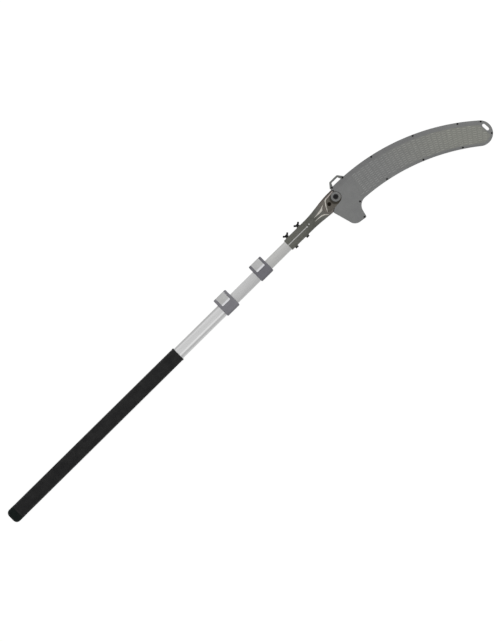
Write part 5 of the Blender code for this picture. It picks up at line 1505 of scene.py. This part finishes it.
def loop_plan(room=0.0):
    edge = CURVE_TOP + HALF_ROOT
    near, far = CURVE_CENTRE.x + LOOP_FEET[0], CURVE_CENTRE.x + LOOP_FEET[1]
    drop = LOOP_FEET[1] ** 2 / (2 * (CURVE_RADIUS + HALF_ROOT))
    out, inward = LEG_REACH + room, FOOT_HALF + room
    top, foot = edge + LOOP_RISE, edge - FOOT_DEPTH - room
    under = top - LOOP_ROD
    tight, bend = FOOT_CORNER, LEG_BEND
    return drawn([
        (near - inward, foot, tight), (near + inward, foot, tight), (near + inward, edge, bend),
        (near + out, under, bend), (far - out, under, bend), (far - inward, edge, bend),
        (far - inward, foot - drop, tight), (far + inward, foot - drop, tight),
        (far + out, edge - drop, bend), (far - LOOP_SHOULDER + room, top, SHOULDER_ROUND),
        (near + LOOP_SHOULDER - room, top, SHOULDER_ROUND), (near - out, edge, bend)], 6)


loop = pulled(loop_plan(), -LOOP_HALF, LOOP_HALF, LOOP_EDGE, 4)
loop = carved(loop, *[upright(place, RIVET_BORE) for place in rivet_places[:2]])
set_down(loop, "belt_loop_moulded", "scabbard", LOOP_GREY, ["belt_loop"])
print("rivets:", len(rivet_places))

# %% [markdown]
# A slightly raised panel carries the relief of the shells. It follows the outline at a distance,
# and ends with a straight edge beside the hang eye, which is a slot through both shells.

# %% Panel and hang eye
EYE_SIZE = (11 * MM, 25 * MM)
EYE_REACH = 24.8 * MM                     # from the tip's centre
EYE_DEGREES = 4.0
EYE_ROOM = 16 * MM                        # from the tip's centre to the panel's edge at the eye
EYE_LEAN = math.radians(EYE_DEGREES) + TIP_AT / CURVE_RADIUS
PANEL_START = (52 * MM, 36 * MM)          # at its upper and its lower edge
PANEL_LEVEL = SHELL_HALF + 0.35 * MM
MARGIN_TOP, MARGIN_BOTTOM = 14 * MM, 8 * MM


def panel_plan():
    """The slightly raised field of the relief, which ends beside the hang eye."""
    tip_centre = on_curve(TIP_AT)
    reach = HALF_TIP - MARGIN_BOTTOM
    end = TIP_AT + (EYE_ROOM - (HALF_TIP - MARGIN_TOP) * math.sin(EYE_LEAN)) / math.cos(EYE_LEAN)
    at_eye = EYE_DEGREES - math.degrees(math.acos(EYE_ROOM / reach))
    pen = Pen(*on_curve(PANEL_START[0], HALF_ROOT - MARGIN_TOP))
    long_arc(pen, PANEL_START[0], end, 1, 60, MARGIN_TOP)
    pen.line(*on_circle(tip_centre, reach, at_eye))
    pen.arc(tip_centre, -90 - math.degrees(TIP_AT / CURVE_RADIUS) - at_eye + 2, 16)
    pen.line(*on_curve(TIP_AT - MM, MARGIN_BOTTOM - HALF_ROOT))
    long_arc(pen, TIP_AT - MM, PANEL_START[1], -1, 60, MARGIN_BOTTOM)
    return pen.filled()


def hang_eye():
    width, length = EYE_SIZE
    x, y = on_circle(on_curve(TIP_AT), EYE_REACH, EYE_DEGREES)
    eye = pulled(oval(width, length, width / 2.01), -FAR, FAR)
    return set_at(eye, x, y, turn=Matrix.Rotation(math.radians(EYE_DEGREES), 4, "Z"))


print("the panel starts at, mm:", [round(value / MM) for value in PANEL_START])

# %% [markdown]
# Each shell is the whole scabbard, joined with its panel and the bosses round the first two
# rivets, and then cut: away goes the other half, the room for the blade, the pocket of the belt
# loop, the eye, a small relief hole at the mouth's corner and the holes of the rivets.

# %% Cut a shell
SHELL_EDGE = 1.2 * MM
BOSS = (4.2 * MM, 0.8 * MM)               # radius and rounding
POCKET_HALF = LOOP_HALF + GAP
MOUTH_CORNER = Vector((ROOT_X + 1.3 * MM, 21.8 * MM, 0))
MOUTH_RELIEF = 2.2 * MM


def shell(side):
    whole = pulled(scabbard_plan(), -SHELL_HALF, SHELL_HALF, SHELL_EDGE, 4)
    bosses = [set_at(rod(BOSS[0], -SHELL_HALF, SHELL_HALF, BOSS[1], BOSS[1], 32), place.x, place.y)
              for place in rivet_places[:2]]
    whole = joined(whole, pulled(panel_plan(), *sorted((0, side * PANEL_LEVEL))), *bosses)
    cut_from, cut_to = sorted((side * GAP / 2, -side * FAR))
    return carved(
        whole,
        block((CURVE_CENTRE.x - 1.0, -1.0, cut_from), (CURVE_CENTRE.x + 1.0, 1.0, cut_to)),
        pulled(cavity_plan(), SHELL_FACE - SHELL_HALF, SHELL_HALF - SHELL_FACE),
        pulled(loop_plan(GAP), -POCKET_HALF, POCKET_HALF),
        hang_eye(),
        upright(MOUTH_CORNER, MOUTH_RELIEF),
        *[upright(place, RIVET_BORE) for place in rivet_places],
    )


# %% [markdown]
# Columns of short raised bars cover the panel and stop short of its edge. They run along the curve
# and every second column is shifted by half a step, like basket work, so that the scabbard can be
# gripped. They are made with the same helper as the bars on the grip.

# %% Relief bars
COLUMN_PITCH = 15.2 * MM
BAR_PITCH = 6.4 * MM
BARS_EACH_SIDE = 8                        # of the curve, at the most
RELIEF_BAR = (12.4 * MM, 3.3 * MM)
RELIEF_RISE = 0.6 * MM
RELIEF_TOP = 0.8
BAR_EDGE = 3.4 * MM                       # kept clear inside the panel's edge


def on_panel(along, off):
    """True where a bar in the middle of this place stays clear of the panel's edge."""
    half = RELIEF_BAR[0] / 2
    above = half_width(along) - MARGIN_TOP - off
    below = half_width(along) - MARGIN_BOTTOM + off
    start = PANEL_START[0] + (PANEL_START[1] - PANEL_START[0]) * above / (above + below) + half + MM
    past = along + half - TIP_AT
    at_eye = past * math.cos(EYE_LEAN) + off * math.sin(EYE_LEAN)
    return (min(above, below) > BAR_EDGE / 2 and along > start and at_eye < EYE_ROOM - MM
            and (past < 0 or math.hypot(past, off) < HALF_TIP - MARGIN_BOTTOM - MM))


def relief(side):
    bm = bmesh.new()
    for column in range(int((TIP_AT + HALF_TIP - PANEL_START[1]) / COLUMN_PITCH) + 1):
        along = PANEL_START[1] + (column + 0.6) * COLUMN_PITCH
        turn = along / CURVE_RADIUS
        forward = Vector((math.cos(turn), -math.sin(turn), 0))
        for number in range(-BARS_EACH_SIDE, BARS_EACH_SIDE + 1):
            off = (number + column % 2 / 2) * BAR_PITCH
            if on_panel(along, off):
                add_stud(bm, Vector((*on_curve(along, off), side * PANEL_LEVEL)), forward,
                         Vector((0, 0, side)), RELIEF_BAR, RELIEF_RISE, RELIEF_TOP)
    return bm


# %% Scabbard shells
for side, label in ((1, "front"), (-1, "back")):
    body = shell(side)
    put_beside(body, relief(side))
    moulded = set_down(body, label + "_shell_moulded", "scabbard", SHELL_GREY,
                       ["scabbard_" + label + "_shell"])
    moulded.data.materials.append(PANEL_GREY)
    moulded.data.materials.append(BAR_HIGHLIGHT_GREY)
    # Faces on the panel take its grey, and the bars above it the lighter grey of their painted highlight.
    for polygon in moulded.data.polygons:
        above = (polygon.center.z - BUTT.z) * side - PANEL_LEVEL
        if above > -LEVEL:
            polygon.material_index = 2 if above > LEVEL else 1

# %% [markdown]
# Each black rivet has a low dome on both faces. One turned shape serves for all twelve, and every
# rivet stays a piece of its own, because it would be drilled out and replaced alone.

# %% Rivets
HEAD_SEAT = SHELL_HALF + GAP
HEAD_TOP = HEAD_SEAT + 1.3 * MM
HEAD_RADIUS = 2.9 * MM
HEAD_ROUND = 1.15 * MM
SHANK_RADIUS = 1.5 * MM
for number, place in enumerate(rivet_places, 1):
    rivet = turned([(0, -HEAD_TOP, 0), (HEAD_RADIUS, -HEAD_TOP, HEAD_ROUND), (HEAD_RADIUS, -HEAD_SEAT, 0),
                    (SHANK_RADIUS, -HEAD_SEAT, 0), (SHANK_RADIUS, HEAD_SEAT, 0), (HEAD_RADIUS, HEAD_SEAT, 0),
                    (HEAD_RADIUS, HEAD_TOP, HEAD_ROUND), (0, HEAD_TOP, 0)], 24)
    set_down(set_at(rivet, place.x, place.y), f"rivet_{number:02d}", "scabbard", RIVET_BLACK,
             [f"scabbard_rivet_{number:02d}"])

# %% [markdown]
# The saw lies on a pale floor under one broad soft lamp and an even sky, set so that a colour
# renders about as it is written. For camera, glossy and transmission rays the floor and the sky
# turn white, and the floor keeps the saw's shadow, because only part of what the camera sees of it
# is its glow.

# %% Floor
FLOOR_HALF = 8.0
FLOOR_GLOW = 0.9
GLOW_STRENGTH = 1.07


def seen_directly(tree):
    """1 for the rays that show the floor or the sky to the camera, also in a mirror or glass."""
    ray = put(tree, "LightPath")
    seen = calculated(tree, "MAXIMUM", ray.outputs["Is Camera Ray"], ray.outputs["Is Glossy Ray"])
    return calculated(tree, "MAXIMUM", seen, ray.outputs["Is Transmission Ray"])


bm = bmesh.new()
bmesh.ops.create_grid(bm, x_segments=1, y_segments=1, size=FLOOR_HALF)
floor = laid_out(bm, "studio_floor")
paint = bpy.data.materials.new("floor_paint")
paint.use_nodes = True
tree = paint.node_tree
shader = tree.nodes["Principled BSDF"]
shader.inputs["Base Color"].default_value = (0.8, 0.8, 0.8, 1.0)
shader.inputs["Roughness"].default_value = 0.9
shader.inputs["Specular IOR Level"].default_value = 0.0
glow = put(tree, "Emission", Color=(1, 1, 1, 1), Strength=GLOW_STRENGTH)
share = calculated(tree, "MULTIPLY", seen_directly(tree), FLOOR_GLOW)
blend = put(tree, "MixShader", _0=share, _1=shader.outputs[0], _2=glow.outputs[0])
tree.links.new(blend.outputs[0], tree.nodes["Material Output"].inputs["Surface"])
floor.data.materials.append(paint)
print("floor:", 2 * FLOOR_HALF, "m wide")

# %% Sky and lamp
SKY_LEVEL = 0.62
LAMP_WATTS = 42.0
LAMP_SIZE = 4.0
LAMP_PLACE = Vector((0.95, 0.95, 2.7))
world = bpy.data.worlds.new("studio_sky")
world.use_nodes = True
scene.world = world
tree = world.node_tree
background = tree.nodes["Background"]
tree.links.new(ranged(tree, seen_directly(tree), 0.0, 1.0, SKY_LEVEL, 1.0), background.inputs["Strength"])
background.inputs["Color"].default_value = (1, 1, 1, 1)

light = bpy.data.lights.new("soft_lamp", "AREA")
light.energy = LAMP_WATTS
light.size = LAMP_SIZE
lamp = bpy.data.objects.new("soft_lamp", light)
lamp.visible_glossy = False
scene.collection.objects.link(lamp)
lamp.location = LAMP_PLACE
lamp.rotation_euler = (-LAMP_PLACE).to_track_quat("-Z", "Y").to_euler()
print("lamp:", LAMP_WATTS, "W at", [round(value, 2) for value in LAMP_PLACE])

# %% [markdown]
# The camera looks straight down, turned so that the pole rises to the upper right as in the
# picture. Its distance and lens give three millimetres of the saw to each pixel of the picture.

# %% Camera
PICTURE_HIGH = 642
METRES_PER_PIXEL = 0.003005
CAMERA_HEIGHT = 6.0
CAMERA_OVER = (0.002, -0.0058)
PICTURE_TURN = 44.6
SENSOR = 36.0
camera_data = bpy.data.cameras.new("camera")
camera_data.sensor_width = SENSOR
camera_data.lens = SENSOR * CAMERA_HEIGHT / (PICTURE_HIGH * METRES_PER_PIXEL)
camera = bpy.data.objects.new("camera", camera_data)
scene.collection.objects.link(camera)
camera.location = (*CAMERA_OVER, BUTT.z + CAMERA_HEIGHT)
camera.rotation_euler = (0, 0, math.radians(-PICTURE_TURN))
scene.camera = camera
scene.view_settings.view_transform = "Standard"
print("lens:", round(camera_data.lens, 2), "mm")
